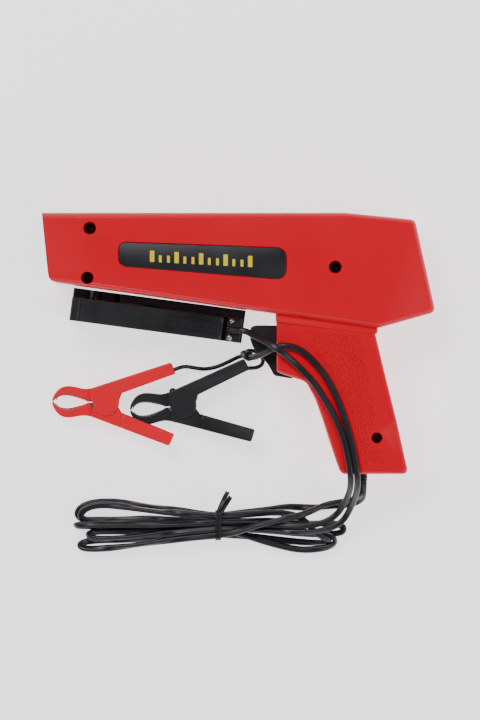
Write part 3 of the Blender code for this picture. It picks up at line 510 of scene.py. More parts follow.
B_HANK = [(72.3, -78.6, 19.9), (72.3, -83.5, 19.9), (72.2, -86.3, 18.6), (70.6, -88.8, 14.0), (66.4, -91.0, 9.0),
          (59.6, -92.3, 5.4), (52.0, -93.0, 4.2), (44.5, -93.7, 3.5),
          (35, -93.6, 3.2), (28, -93.3, 3.2), (20, -94.2, 3.2), (6, -96.2, 3.2), (-11.5, -98.3, 3.2), (-22, -97.2, 3.2),
          (-32, -95.6, 3.2), (-49, -93.4, 3.3), (-65, -91.0, 3.6), (-77, -90.4, 3.8), (-85, -91.3, 3.9), (-90.2, -93.9, 3.8),
          (-92.4, -97.2, 3.6), (-90.6, -99.9, 3.2), (-86, -100.9, 3.0), (-78, -100.8, 3.0), (-65, -100.5, 3.0),
          (-49, -100.2, 3.1), (-32, -100.8, 3.2), (-11.5, -102.0, 3.2), (6, -101.7, 3.2), (20, -101.5, 3.2), (35, -102.3, 3.2),
          (48, -103.0, 3.2), (57, -103.3, 3.2), (60.4, -104.2, 3.2), (61.2, -106.0, 3.2), (60.4, -107.9, 3.2), (57, -108.6, 3.2),
          (48, -109.0, 3.2), (35, -108.5, 3.2), (20, -107.3, 3.2), (6, -106.2, 3.2), (-11.5, -105.7, 3.2), (-32, -104.7, 3.2),
          (-50, -104.4, 3.2), (-65, -104.5, 3.3), (-80, -104.8, 3.5), (-88, -104.7, 3.6), (-92, -104.4, 4.8),
          (-93.0, -104.0, 7.2), (-92, -103.6, 9.6), (-88, -103.4, 10.6), (-80, -103.2, 10.8), (-65, -103.2, 10.8),
          (-50, -103.2, 10.8), (-32, -102.9, 10.8), (-11.5, -102.0, 10.7), (6, -102.2, 10.9), (20, -103.2, 12.0),
          (35, -103.9, 14.3), (46, -103.0, 14.9), (52.6, -100.4, 15.0)]


def twin(width, thick, n=8):
    """The section of a two-core cord, two round cores side by side."""
    r = thick / 2
    c = width / 2 - r
    a0 = math.degrees(math.acos(-c / r)) - 4
    right = arc(c, 0, r, -a0, a0, n)
    return right + [(-x, -y) for x, y in right]


def wobble(seed, k, flat_at):
    """A slow turn of the cord about its own line, none where it lies on the grip."""
    def f(t):
        w = 0.9 * math.sin(2 * math.pi * (k * t + seed)) + 0.5 * math.sin(2 * math.pi * (2.3 * k * t + 0.37 + seed))
        fade = min(1.0, max(0.0, (flat_at - t) / 0.03))
        return w * fade
    return f


def spread_low(pts):
    """The table lies lower than the gun's face, so what lies on it is laid a little wider."""
    out = []
    for x, y, z in pts:
        k = 1.0 + 0.0157 * min(1.0, max(0.0, (20.0 - z) / 6.0)) * min(1.0, max(0.0, (-y - 84.0) / 6.0))
        out.append((1.2 + (x - 1.2) * k, -9.4 + (y + 9.4) * k, z))
    return out


def lead(name, hank, front):
    line = relax(smooth(spread_low(hank) + spread_low(front)[::-1], 1.1), 8)
    front_len = length(smooth(front, 1.1))
    flat = 1 - front_len / length(line)
    return line, flat


line_a, flat_a = lead("lead_power", A_HANK, POWER)
line_b, flat_b = lead("lead_pickup", B_HANK, PICK)
lead_a = sweep("lead_power", line_a, twin(LEAD_D, 2.5), wobble(0.1, 9, flat_a), scale=lambda t: 1.0 + 0.10 * min(1.0, max(0.0, (flat_a - 0.03 - t) / 0.03)))
lead_b = sweep("lead_pickup", line_b, twin(LEAD_D, 2.5), wobble(0.55, 7, flat_b), scale=lambda t: 1.0 + 0.10 * min(1.0, max(0.0, (flat_b - 0.03 - t) / 0.03)))
finish(lead_a, "gun", "cable", CABLE, "power_lead", "power_lead_outlet", "lead_hank")
finish(lead_b, "gun", "cable", CABLE, "pickup_lead", "pickup_lead_outlet")

RED_WIRE = [(3.6, -6.4, 9.2), (2.6, -6.9, 7.4), (-0.2, -7.8, 5.0), (-5.0, -10.2, 3.4), (-12.0, -13.2, 1.8), (-19.0, -14.6, 1.6),
            (-25.0, -14.0, 3.4), (-30.2, -13.2, 6.0), (-33.4, -13.7, 7.1), (-37.0, -15.0, 7.2), (-40.0, -15.95, 7.2),
            (-46.0, -17.5, 7.2), (-54.1, -20.0, 7.2), (-61.4, -22.4, 7.2)]
BLACK_WIRE = [(3.7, -5.6, 9.4), (4.1, -4.9, 7.4), (6.2, -3.9, 5.4), (10.6, -4.6, 4.4), (14.0, -7.4, 4.4), (14.4, -11.4, 5.0),
              (11.2, -13.7, 6.6), (6.9, -14.1, 7.2), (2.9, -14.4, 7.2), (-3.0, -16.0, 7.2), (-10.7, -19.4, 7.2), (-17.8, -22.6, 7.2)]
line_r = relax(smooth(RED_WIRE, 0.9), 3)
line_k = relax(smooth(BLACK_WIRE, 0.8), 3)
wire_r = sweep("wire_red_clip", line_r, circle(WIRE_D / 2))
wire_k = sweep("wire_black_clip", line_k, circle(WIRE_D / 2))
wire_r.data.materials.append(CABLE)
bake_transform(wire_r)
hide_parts("red_clip_wire")
finish(wire_k, "gun", "cable", CABLE, "black_clip_wire")

splitter = sweep("splitter", smooth([(6.4, -7.3, 18.0), (5.0, -6.7, 13.5), (3.3, -5.9, 8.0)], 0.4), circle(2.85, 24),
                 scale=lambda t: 1.0 - 0.2 * t - (0.05 if int(t * 13) % 2 else 0.0))
finish(splitter, "gun", "relief_rubber", RELIEF, "lead_splitter")

# boot where the two leads leave the grip: a flat rubber sleeve with ribs
bx, by = BOOT
relief_line = [Vector((bx, by + 3.0 - 10.4 * k / 52, MID)) for k in range(53)]


def rib(t):
    y = 10.4 * t
    if y < 3.6:
        return 1.0
    return 0.985 - 0.16 * (y - 3.6) / 6.8 - (0.09 if int((y - 3.6) / 0.95) % 2 == 0 else 0.0)


boot_section = rounded([(-2.45, -4.45), (2.45, -4.45), (2.45, 4.45), (-2.45, 4.45)], 2.3, 6)
relief = sweep("strain_relief_boot", relief_line, boot_section, scale=rib)
relief_flange = apply(bevel(box("flange", (bx - 3.9, by + 2.75, MID - 5.9), (bx + 3.9, by + 4.9, MID + 5.9)), 0.8, 3))
relief = join("strain_relief_boot.all", [relief, relief_flange])
relief.name = "strain_relief_boot"
relief.data.shade_smooth()
relief.data.set_sharp_from_angle(angle=math.radians(40))
finish(relief, "gun", "relief_rubber", RELIEF, "strain_relief")

# ---------------------------------------------------------------- twist tie
ring_out = rounded([(-113.9, 0.35), (-96.4, 0.35), (-96.4, 13.9), (-113.9, 13.9)], 3.0, 6)
band_line = [Vector((-11.5, y, z)) for y, z in ring_out + ring_out[:1]]
tie = prism("twist_tie_band", ring_out, -13.2, -9.8)
hole = prism("tie_hole", offset(ring_out, 0.75), -15, -8)
boolean(tie, hole)
apply(bevel(tie, 0.2, 2), 30)
tie.data.transform(Matrix(((0, 0, 1, 0), (1, 0, 0, 0), (0, 1, 0, 0), (0, 0, 0, 1))))
strip = rounded([(-1.35, -0.42), (1.35, -0.42), (1.35, 0.42), (-1.35, 0.42)], 0.4, 3)


def turn(t):
    return 0.25 + 1.1 * math.sin(3.0 * t)


end_1 = sweep("tie_end_1", smooth([(-11.9, -98.6, 14.2), (-11.4, -97.2, 15.1), (-9.9, -93.6, 15.6), (-7.9, -89.4, 15.0), (-5.9, -85.6, 13.8)], 0.4),
              strip, lambda t: -0.9 + 1.1 * t)
end_2 = sweep("tie_end_2", smooth([(-10.6, -98.8, 14.2), (-9.6, -97.4, 14.7), (-8.0, -94.6, 13.4), (-6.0, -91.4, 11.9), (-4.2, -88.6, 10.9)], 0.4),
              strip, lambda t: 0.7 - 1.0 * t)
twist = sweep("tie_twist", smooth([(-12.6, -101.0, 14.1), (-11.6, -99.4, 14.6), (-10.6, -97.8, 14.5)], 0.25),
              rounded([(-1.5, -0.75), (1.5, -0.75), (1.5, 0.75), (-1.5, 0.75)], 0.7, 3), lambda t: 3.6 * t)
tie = join("twist_tie_wire", [tie, end_1, end_2, twist])
tie.data.shade_smooth()
tie.data.set_sharp_from_angle(angle=math.radians(35))
finish(tie, "gun", "tie", TIE, "twist_tie")


# ---------------------------------------------------------------- housing halves
def body_solid(name):
    pts = rounded(BODY_OUTLINE, [0, 14.0, 4.0, 3.6, 6.0, 0], 6)
    b = prism(name, pts, 0.0, BODY_T)
    bevel(b, 5.6, 6, 50).modifiers["bevel"].profile = 0.30
    return b


def housing(name, upper):
    body = body_solid(name)
    g = rounded(GRIP_OUTLINE, [0, 3.0, 7.0, 16, 30, 30, 30, 4.0, 4.0, 30, 40, 40, 40, 0], 5)
    grip = prism(name + "_grip", g, MID - GRIP_T / 2, MID + GRIP_T / 2)
    bevel(grip, 4.4, 6, 50)
    boolean(body, grip, 'UNION')
    collar = prism(name + "_collar", rounded([(21.7, 22.0), (21.7, 12.4), (40.0, 10.0), (80.2, 5.4), (79.4, 16.0)], [0, 1.2, 0, 1.5, 0], 3),
                   MID - GRIP_T / 2 - 1.3, MID + GRIP_T / 2 + 1.3)
    bevel(collar, 1.25, 4, 50)
    boolean(body, collar, 'UNION')
    sx = lambda y: -112.1 + 4.0 * (y - 74.8) / (35.6 - 74.8)
    corner = [(sx(40.4), 40.4)] + [(-104.2 + 4.25 * math.cos(math.radians(a)), 39.9 + 4.6 * math.sin(math.radians(a))) for a in range(190, 275, 12)]
    front = [(sx(85), 85.0)] + corner + [(-104.0, 35.0), (-104.0, 25.0), (-140.0, 25.0), (-140.0, 85.0)]
    boolean(body, prism(name + "_muzzle", front, -5, BODY_T + 5))
    boolean(body, prism(name + "_hollow", offset(BODY_OUTLINE, WALL), WALL, BODY_T - WALL))
    boolean(body, prism(name + "_grip_hollow", offset(GRIP_OUTLINE, WALL), MID - GRIP_T / 2 + WALL, MID + GRIP_T / 2 - WALL))
    for i, (x, y, top, r) in enumerate(SCREWS):
        bottom = BODY_T - top
        rr = 4.8 if i < 3 else 4.4
        if i == 1:
            rr = 4.4
        if upper:
            boolean(body, cylinder(f"{name}_boss_{i}", rr, (x, y, MID - 1), (x, y, top - (1.0 if i != 1 else 2.6)), 32), 'UNION')
        else:
            boolean(body, cylinder(f"{name}_boss_{i}", 4.0, (x, y, bottom + 1), (x, y, MID + 1), 32), 'UNION')
    if upper:
        boolean(body, box(name + "_parting", (-150, -90, -10), (130, 90, MID + GAP / 2)))
    else:
        boolean(body, box(name + "_parting", (-150, -90, MID - GAP / 2), (130, 90, 60)))
    for i, (x, y, top, r) in enumerate(SCREWS):
        if upper:
            boolean(body, cylinder(f"{name}_sink_{i}", r, (x, y, 27.0), (x, y, 60), 40))
            boolean(body, cylinder(f"{name}_lip_{i}", r, (x, y, top - 0.45), (x, y, top + 0.15), 40, r2=r + 0.6))
            boolean(body, cylinder(f"{name}_hole_{i}", 1.8, (x, y, 10.0), (x, y, 30), 20))
        else:
            boolean(body, cylinder(f"{name}_hole_{i}", 1.8, (x, y, 9.0), (x, y, 30), 20))
    slot = [(15.0, 13.5), (27.5, 13.5), (36.0, 12.0), (36.0, -15.0), (40.5, -26.0), (15.0, -26.0)]
    boolean(body, prism(name + "_slot", slot, MID - 5.0, MID + 5.0))
    boolean(body, box(name + "_outlet", (bx - 2.9, by - 5, MID - 4.9), (bx + 2.9, by + 5, MID + 4.9)))
    if upper:
        boolean(body, prism(name + "_label_seat", rounded(offset(LABEL_OUTLINE, -0.3), [5.3, 6.7, 6.7, 5.3], 8), BODY_T - 1.0, BODY_T + 3))
    apply(body, 40)
    return flats(body)


left = finish(housing("housing_left_shell", True), "gun", "housing", RED, "housing_left")
right = finish(housing("housing_right_shell", False), "gun", "housing", RED, "housing_right")


def inside(pt, poly):
    x, y = pt
    hit = False
    for (x0, y0), (x1, y1) in zip(poly, poly[1:] + poly[:1]):
        if (y0 > y) != (y1 > y) and x < x0 + (y - y0) * (x1 - x0) / (y1 - y0):
            hit = not hit
    return hit


def bumps(bm, poly, pitch, base, top, z, h, sink=0.15, at=lambda x, y, z: (x, y, z), clear=None):
    """Small four-sided studs, one for each cell of a square grid that lies inside the outline."""
    xs, ys = [p[0] for p in poly], [p[1] for p in poly]
    i0, i1 = math.floor(min(xs) / pitch), math.ceil(max(xs) / pitch)
    j0, j1 = math.floor(min(ys) / pitch), math.ceil(max(ys) / pitch)
    for i in range(i0, i1):
        for j in range(j0, j1):
            cx, cy = (i + 0.5) * pitch, (j + 0.5) * pitch
            if not all(inside((cx + sx * pitch * 0.5, cy + sy * pitch * 0.5), poly) for sx in (-1, 1) for sy in (-1, 1)):
                continue
            if clear and math.hypot(cx - clear[0], cy - clear[1]) < clear[2]:
                continue
            rings = []
            for rad, zz in ((base, z - sink), (base, z), ((base + top) / 2 + 0.06, z + h * 0.62), (top, z + h)):
                rings.append([bm.verts.new([c * MM for c in at(cx + sx * rad, cy + sy * rad, zz)]) for sx, sy in ((-1, -1), (1, -1), (1, 1), (-1, 1))])
            for a, b in zip(rings, rings[1:]):
                for k in range(4):
                    bm.faces.new((a[k], a[(k + 1) % 4], b[(k + 1) % 4], b[k]))
            bm.faces.new(rings[0][::-1])
            bm.faces.new(rings[-1])


GRID = [(36.4, 9.5), (39.5, 1.0), (44.6, -6.4), (50.6, -14.6), (56.4, -24.0), (61.4, -33.0), (65.0, -43.1), (67.6, -52.2),
        (70.0, -63.1), (71.6, -69.6), (85.4, -69.6), (80.6, -47.0), (75.6, -20.0), (70.7, 5.0), (54.0, 7.2)]
for nm, zf, s in (("grip_studs_left", MID + GRIP_T / 2, 1), ("grip_studs_right", MID - GRIP_T / 2, -1)):
    me = bpy.data.meshes.new(nm)
    bm = bmesh.new()
    bumps(bm, GRID, 1.6, 0.62, 0.34, 0.0, 0.42, at=lambda x, y, z: (x, y, zf + s * z), clear=(*SCREWS[3][:2], 4.3))
    bmesh.ops.recalc_face_normals(bm, faces=bm.faces)
    bm.to_mesh(me)
    bm.free()
    finish(add(nm, me), "gun", "housing", GRIPRED)

# ---------------------------------------------------------------- label and its mark
label = prism("label_face", rounded(LABEL_OUTLINE, [5.0, 6.4, 6.4, 5.0], 10), BODY_T - 0.7, BODY_T + 0.05)
bevel(label, 0.35, 3)
apply(label)
finish(label, "gun", "label", LABELM, "label_plate")
marks = []
for k in range(13):
    x = -49.0 + k * (56.0 / 12)
    major = k % 3 == 0
    w, h = (1.25, 6.4) if major else (0.8, 4.0)
    y = 46.7 - 0.053 * (x + 49.0)
    marks.append(prism("m", rounded([(x - w, y), (x + w, y - 0.1), (x + w, y + h - 0.1), (x - w, y + h)], 0.3, 3), BODY_T - 0.1, BODY_T + 0.14))
mark = join("label_mark", marks)
finish(mark, "gun", "label", MARK)

# ---------------------------------------------------------------- screws
for i, (x, y, top, r) in enumerate(SCREWS):
    head = lathe(f"screw_{i + 1}", [(0, 29.3), (1.2, 29.2), (2.0, 28.9), (2.55, 28.3), (2.7, 27.7), (2.7, 27.2), (1.5, 27.2),
                                    *[(1.5 if q % 2 else 1.25, 26.8 - 0.5 * q) for q in range(32)], (0, 9.9)], 32, (x, y, 0), (0, 0, 1))
    for a in (0, 90):
        c = box("cross", (-1.7, -0.38, 28.2), (1.7, 0.38, 31))
        c.data.transform(Matrix.Translation((x * MM, y * MM, 0)) @ Matrix.Rotation(math.radians(a + 20 + 31 * i), 4, 'Z'))
        boolean(head, c)
    apply(head, 35)
    finish(head, "gun", "screw", SCREWM, f"housing_screw_{i + 1}")

# ---------------------------------------------------------------- lamp
rings_ = [(0.0, 7.7)]
for k in range(1, 34):
    rr = 13.2 * k / 33
    z = 7.7 - 1.55 * (rr / 13.2) ** 2 + (0.10 if k % 2 else -0.06)
    rings_.append((rr, z))
rings_ += [(13.5, 5.9), (15.0, 5.9), (15.0, 4.2), (8.0, 4.6), (0.0, 4.9)]
lens = lathe("lens_glass", rings_, 72, (-100.9, LENS_Y, MID), (-1, 0, 0))
lens.data.shade_smooth()
lens.data.set_sharp_from_angle(angle=math.radians(24))
finish(lens, "gun", "lens", GLASS, "lens")

bz = box("bezel", (-108.0, 38.6, 2.7), (-103.0, 72.3, 41.3))
bevel(bz, 1.0, 3)
boolean(bz, lathe("bore", [(0, 12), (15.6, 12), (13.8, 9.0), (13.8, 7.2), (15.3, 7.2), (15.3, -2), (0, -2)], 72, (-100.0, LENS_Y, MID), (-1, 0, 0)))
flats(apply(bz, 35))
finish(bz, "gun", "bezel", BLACK, "lens_bezel")

# ---------------------------------------------------------------- trigger
px, py = TRIGGER_PIVOT
TRIGGER = [(27.3, 10.4), (11.0, 10.6), (7.2, 9.8), (6.8, 3.0), (8.6, -2.2), (12.6, -6.8),
           (16.6, -11.0), (19.2, -15.2), (20.6, -18.4), (31.5, -20.3), (33.6, -17.6),
           (33.2, -12.0), (30.6, -7.5), (27.3, -4.0)]
tg = prism("trigger_lever", rounded(TRIGGER, [1.2, 6, 5.0, 12, 12, 20, 20, 20, 3.5, 3.5, 2, 6, 6, 6], 6), MID - 4.5, MID + 4.5)
bevel(tg, 1.5, 5, 50)
boolean(tg, cylinder("bore", 1.9, (px, py, 10), (px, py, 34), 28))
for k, (gx, gy) in enumerate(((7.0, 1.2), (8.4, -2.2), (11.0, -5.4), (14.0, -8.6))):
    boolean(tg, cylinder(f"groove_{k}", 0.55, (gx - 0.1, gy - 0.1, 14), (gx - 0.1, gy - 0.1, 30), 14))
flats(apply(tg, 42))
finish(tg, "trigger", "trigger", TRIGM, "trigger")

# ---------------------------------------------------------------- battery clips
OUTER = [(-31.4, 0.2), (-30.7, 2.8), (-29.0, 5.6), (-26.3, 8.1), (-22.8, 9.15), (-19.0, 8.9), (-15.5, 8.2), (-12.3, 7.8), (-9.0, 8.2)]
LEVER_TOP = [(-8.5, 8.3), (35.9, 23.9), (38.6, 21.6), (40.0, 17.4)]
EYE = [(-10.4, 0.2), (-15.5, 2.7), (-19.5, 4.0), (-23.0, 4.5), (-26.6, 3.9), (-29.3, 2.0), (-30.4, 0.2)]


def curved(pts, step=0.9):
    return [(v.x, v.y) for v in smooth([(x, y, 0) for x, y in pts], step)]


def serrate(pts, depth, step):
    """Saw teeth along an open line, its ends kept."""
    line = smooth([(x, y, 0) for x, y in pts], step / 2)
    out = []
    for i, p in enumerate(line):
        q = line[min(len(line) - 1, i + 1)] - line[max(0, i - 1)]
        nrm = Vector((q.y, -q.x, 0)).normalized()
        s = depth if i % 2 and 0 < i < len(line) - 1 else 0.0
        out.append((p.x + nrm.x * s, p.y + nrm.y * s))
    return out


def clip(colour, tip, angle, vinyl, slot_name, bodies):
    a = math.radians(angle)
    ox, oy = tip[0] + CLIP_TIP * math.cos(a), tip[1] + CLIP_TIP * math.sin(a)
    place = Matrix.Translation((ox * MM, oy * MM, CLIP_Z * MM)) @ Matrix.Rotation(a, 4, 'Z')
    for side in (1, -1):
        half = "upper" if side > 0 else "lower"

        def m(pts):
            return [(x, y * side) for x, y in pts]

        nose = curved(OUTER, 0.8) + [(-6.0, 8.9), (-6.0, 5.0), (-9.2, 0.8)] + curved(EYE, 0.8)
        wide = 6.9 if side > 0 else 5.6
        ear_r = 7.4 if side > 0 else 6.4
        ear = arc(0, 0, ear_r, 10, -130, 18)
        lever = rounded([(-8.5, 8.3), (37.2, 24.3), (40.0, 17.4)], [0, 1.6, 1.2], 5) + [(8.9, 5.6)] + ear + [(-8.5, 1.2) if side > 0 else (-7.0, 1.2)]
        cover = prism(f"{colour}_{half}_insulator", m(lever), -wide, wide)
        bevel(cover, 1.3, 4, 50)
        if side < 0:
            rear = prism("rear", m(rounded([(8.9, 14.4), (37.2, 24.3), (40.0, 17.4), (11.2, 6.5), (8.9, 7.9)], [0, 1.6, 1.2, 0, 0], 5)), -6.9, 6.9)
            bevel(rear, 1.3, 4, 50)
            boolean(cover, rear, 'UNION')
        inw = 5.9 if side > 0 else 4.7
        chan = [(-5.0, 7.8), (34.6, 21.9), (44.0, 25.1), (46.0, 8.0), (9.0, -14.0), (-9.0, -14.0), (-9.6, 0.0), (-8.0, 6.6)]
        boolean(cover, prism("chan", m(chan), -inw, inw))
        if side < 0:
            boolean(cover, prism("chan2", m([(11.0, 13.6), (34.6, 21.9), (44.0, 25.1), (46.0, 8.0), (11.0, 2.0)]), -5.9, 5.9))
        nz = prism("nose", m(nose), -4.0, 4.0)
        bevel(nz, 1.1, 4, 60)
        hollow = [(-31.9, 0.0)] + curved([(-30.0, 0.1), (-29.4, 2.5), (-27.9, 4.9), (-25.6, 7.0), (-22.7, 7.9), (-19.1, 7.6), (-15.6, 7.0), (-12.3, 6.6), (-8.0, 7.0)], 1.2)[1:] + [(-4.0, 7.0), (-4.0, -0.5), (-31.9, -0.5)]
        boolean(nz, prism("hollow", m(hollow), -2.8, 2.8))
        apply(nz)
        boolean(cover, nz, 'UNION')
        apply(cover, 36)
        # raised rib across the arm, on both faces
        ribs = []
        for s in (1, -1):
            z0, z1 = sorted((s * (wide - 0.6), s * (wide + 0.32)))
            ribs.append(apply(bevel(prism(f"rib{s}", m([(9.2, 6.9), (10.4, 7.3), (8.4, 13.3), (7.2, 12.9)]), z0, z1), 0.25, 3)))
        if colour == "black" and side > 0:
            ribs.append(lathe("knob", [(0, 3.1), (0.8, 3.0), (1.5, 2.6), (2.0, 1.9), (2.15, 1.0), (2.15, -2.4), (1.6, -3.0), (0, -3.1)], 28, (-5.6, 8.7, 3.2), (0, 0, 1)))
        cover = join(f"{colour}_{half}_shell", [cover] + ribs)
        cover.name = f"{colour}_{half}_insulator"
        cover.data.shade_smooth()
        cover.data.set_sharp_from_angle(angle=math.radians(42))
        flats(cover)
        cover.data.transform(place)
        finish(cover, bodies[half], slot_name, vinyl, f"{colour}_clip_{half}_cover")

        teeth = serrate([(-29.2, 0.35), (-28.7, 1.3), (-26.5, 2.9), (-23.0, 3.45), (-19.5, 3.0), (-15.5, 1.9), (-10.4, 0.35)], -0.45, 1.25)
        jaw = teeth + [(-7.6, 0.2), (-5.6, 4.9), (3.0, 4.9), (6.0, 6.6), (10.5, 11.8), (34.0, 20.05), (33.7, 20.95), (10.0, 12.6),
                       (5.2, 7.4), (2.6, 6.1), (-6.4, 6.1), (-8.6, 2.0), (-10.8, 1.7)] + curved([(-10.9, 1.75), (-15.9, 3.2), (-19.6, 4.3), (-23.0, 4.75), (-27.0, 4.2), (-29.3, 2.2)], 1.0)[1:]
        metal = prism(f"{colour}_{half}_jaw_plate", m(jaw), -2.3, 2.3)
        half_w, inner_w = (4.3, 3.5) if side > 0 else (3.2, 2.4)
        boolean(metal, prism("bridge", m([(-4.2, 4.95), (3.2, 4.95), (2.4, 6.05), (-4.2, 6.05)]), -half_w, half_w), 'UNION')
        cheek = arc(0, 0, 4.1, 20, -200, 22) + [(-4.0, 5.5), (3.0, 5.5)]
        for s in (1, -1):
            z0, z1 = sorted((s * inner_w, s * half_w))
            boolean(metal, prism(f"cheek{s}", m(cheek), z0, z1), 'UNION')
        boolean(metal, cylinder("bore", 1.8, (0, 0, -9), (0, 0, 9), 28))
        apply(metal, 30)
        metal.data.transform(place)
        finish(metal, bodies[half], "jaw_steel", NICKEL, f"{colour}_clip_{half}_jaw")
    pin = lathe(f"{colour}_pivot_rivet", [(0, 5.3), (1.2, 5.2), (2.0, 4.8), (2.3, 4.4), (1.5, 4.4), (1.5, -4.4), (2.3, -4.4), (2.0, -4.8), (1.2, -5.2), (0, -5.3)], 32, (0, 0, 0), (0, 0, 1))
    pin.data.transform(place)
    pin.data.shade_smooth()
    pin.data.set_sharp_from_angle(angle=math.radians(40))
    finish(pin, "gun", "steel", NICKEL, f"{colour}_clip_pin")
    return place


def crimp(name, line, body):
    """Folded metal barrel that holds a wire's end to the jaw's leaf."""
    pts = [p for p in line if (p - line[-1]).length < 6.0]
    ob = sweep(name, pts, rounded([(-1.75, -1.5), (1.75, -1.5), (1.75, 1.5), (-1.75, 1.5)], 1.1, 5),
               scale=lambda t: 1.0 - 0.10 * (1 if 0.35 < t < 0.65 else 0))
    finish(ob, body, "jaw_steel", NICKEL)


crimp("red_wire_crimp", line_r, "red_clip_lever")
crimp("black_wire_crimp", line_k, "gun")
red_place = clip("red", RED_TIP, RED_ANGLE, VINYLR, "red_vinyl", {"upper": "red_clip_lever", "lower": "gun"})
black_place = clip("black", BLACK_TIP, BLACK_ANGLE, VINYLB, "black_vinyl", {"upper": "gun", "lower": "black_clip_lever"})

# ---------------------------------------------------------------- inductive pickup
pa = math.radians(PICKUP_ANGLE)
pu, pw = PICKUP_PIVOT
P_PLACE = Matrix.Translation((PICKUP_ORIGIN[0] * MM, PICKUP_ORIGIN[1] * MM, 0)) @ Matrix.Rotation(pa, 4, 'Z')
CORE_C = (12.5, 15.83)
BASE = [(0.6, 15.6), (0.0, 14.0), (0.0, 2.0), (1.6, 0.3), (99.0, 0.3), (100.4, 1.8), (100.4, 23.0), (99.0, 24.2),
        (90.9, 24.2), (90.9, 10.5), (28.0, 10.5), (24.5, 15.6)]
base = prism("pickup_base", rounded(BASE, [0.5, 0.8, 2, 2, 2, 2, 2, 1.5, 0.3, 0.8, 2, 1.0], 4), -9.0, 10.0, "XZ")
bevel(base, 0.9, 3, 50)
boolean(base, apply(bevel(box("wall", (27.6, 4.9, 6.0), (95.0, 10.0, 21.2)), 0.7, 3)), 'UNION')
boolean(base, box("ledge", (-5.0, 4.9, 21.5), (110.0, 12.0, 30.0)))
notch = arc(CORE_C[0], CORE_C[1], 4.4, 0, 360, 48)[:-1]
boolean(base, prism("notch", notch, -12, 12, "XZ"))


def half_ring(ri, ro, lower, grow):
    c, w = CORE_C
    if lower:
        return arc(c, w, ro + grow, 180, 360, 24) + arc(c, w, ri - grow, 360, 180, 24)
    return arc(c, w, ro + grow, 0, 180, 24) + arc(c, w, ri - grow, 180, 0, 24)


boolean(base, prism("core_low", half_ring(5.9, 9.0, True, 0.3), -6.3, 2.3, "XZ"))
boolean(base, box("coil_pocket", (30.0, -6.3, 3.0), (41.0, 2.3, 14.0)))
for k, (v0, v1) in enumerate(((-9.0, -6.6), (2.2, 5.4))):
    boolean(base, prism(f"ear{k}", rounded([(39.5, 9.5), (52.5, 9.5), (50.0, 17.6), (46.0, 19.9), (42.0, 17.6)], [0, 0, 2, 3, 2], 4), v0, v1, "XZ"), 'UNION')
boolean(base, cylinder("ear_bore", 1.85, (pu, -12, pw), (pu, 8, pw), 28))
boolean(base, cylinder("groove", 2.3, (88.0, -2.3, 25.2), (104.0, -2.3, 25.2), 28))
for k, v in enumerate((2.9, -6.7)):
    boolean(base, cylinder(f"rb{k}", 1.3, (93.2, v, 12), (93.2, v, 30), 20))
flats(apply(base, 40))
base.data.transform(P_PLACE)
finish(base, "gun", "pickup_plastic", PICKM, "pickup_body")

LEVER = [(1.2, 28.3), (0.4, 27.4), (0.4, 17.4), (1.2, 16.0), (24.3, 16.0), (27.0, 21.4), (41.5, 21.3), (42.6, 14.4),
         (46.0, 12.8), (49.4, 14.4), (50.5, 21.2), (87.2, 21.4), (88.6, 22.6), (88.6, 27.2), (87.2, 28.3)]
lever = prism("pickup_top", rounded(LEVER, [0.8, 0.8, 0.8, 0.8, 1, 1, 0.5, 1, 2, 1, 0.5, 0.8, 0.8, 0.8, 0.8], 4), -9.0, 4.6, "XZ")
bevel(lever, 0.9, 4, 50)
boolean(lever, prism("notch2", notch, -12, 12, "XZ"))
boolean(lever, prism("core_high", half_ring(5.9, 9.0, False, 0.3), -6.3, 2.3, "XZ"))
for k, (v0, v1) in enumerate(((-12.0, -6.3), (1.9, 12.0))):
    boolean(lever, box(f"relief{k}", (38.0, v0, 8.0), (54.0, v1, 21.0)))
boolean(lever, cylinder("lever_bore", 1.85, (pu, -12, pw), (pu, 8, pw), 28))
boolean(lever, box("window", (40.0, -4.4, 10.0), (52.2, 0.0, 21.3)))
# shallow recess for the thumb, a groove behind the front lip
boolean(lever, box("thumb", (56.6, -6.1, 27.75), (91.0, 1.5, 30.0)))
boolean(lever, cylinder("lip", 0.9, (5.2, -12, 28.7), (5.2, 8, 28.7), 20))
flats(apply(lever, 40))
lever.data.transform(P_PLACE)
finish(lever, "pickup_lever", "pickup_plastic", PICKM, "pickup_lever")

me = bpy.data.meshes.new("pickup_studs")
bm = bmesh.new()
bumps(bm, [(57.0, -5.9), (88.2, -5.9), (88.2, 1.3), (57.0, 1.3)], 1.55, 0.60, 0.36, 27.75, 0.5)
bmesh.ops.recalc_face_normals(bm, faces=bm.faces)
bm.to_mesh(me)
bm.free()
studs = add("pickup_studs", me)
studs.data.transform(P_PLACE)
finish(studs, "pickup_lever", "pickup_plastic", PICKM)

for k, v in enumerate((2.9, -6.7)):
    rv = lathe(f"rivet_{k + 1}", [(0, 25.7), (0.7, 25.6), (1.3, 25.3), (1.7, 24.9), (1.9, 24.45), (1.0, 24.4), (1.0, 14.0), (0, 14.0)], 28, (93.2, v, 0), (0, 0, 1))
    rv.data.transform(P_PLACE)
    rv.data.shade_smooth()
    rv.data.set_sharp_from_angle(angle=math.radians(40))
    finish(rv, "gun", "rivet", RIVETM, f"pickup_rivet_{k + 1}")
pboot = sweep("pickup_lead_boot", [Vector((92.9 + 7.1 * k / 40, -2.3, 25.4 + 0.6 * k / 40)) for k in range(41)], circle(2.0, 24),
              scale=lambda t: 1.0 - 0.04 * t - (0.08 if int(t * 9) % 2 else 0.0))
pboot.data.transform(P_PLACE)
finish(pboot, "gun", "relief_rubber", RELIEF, "pickup_boot")

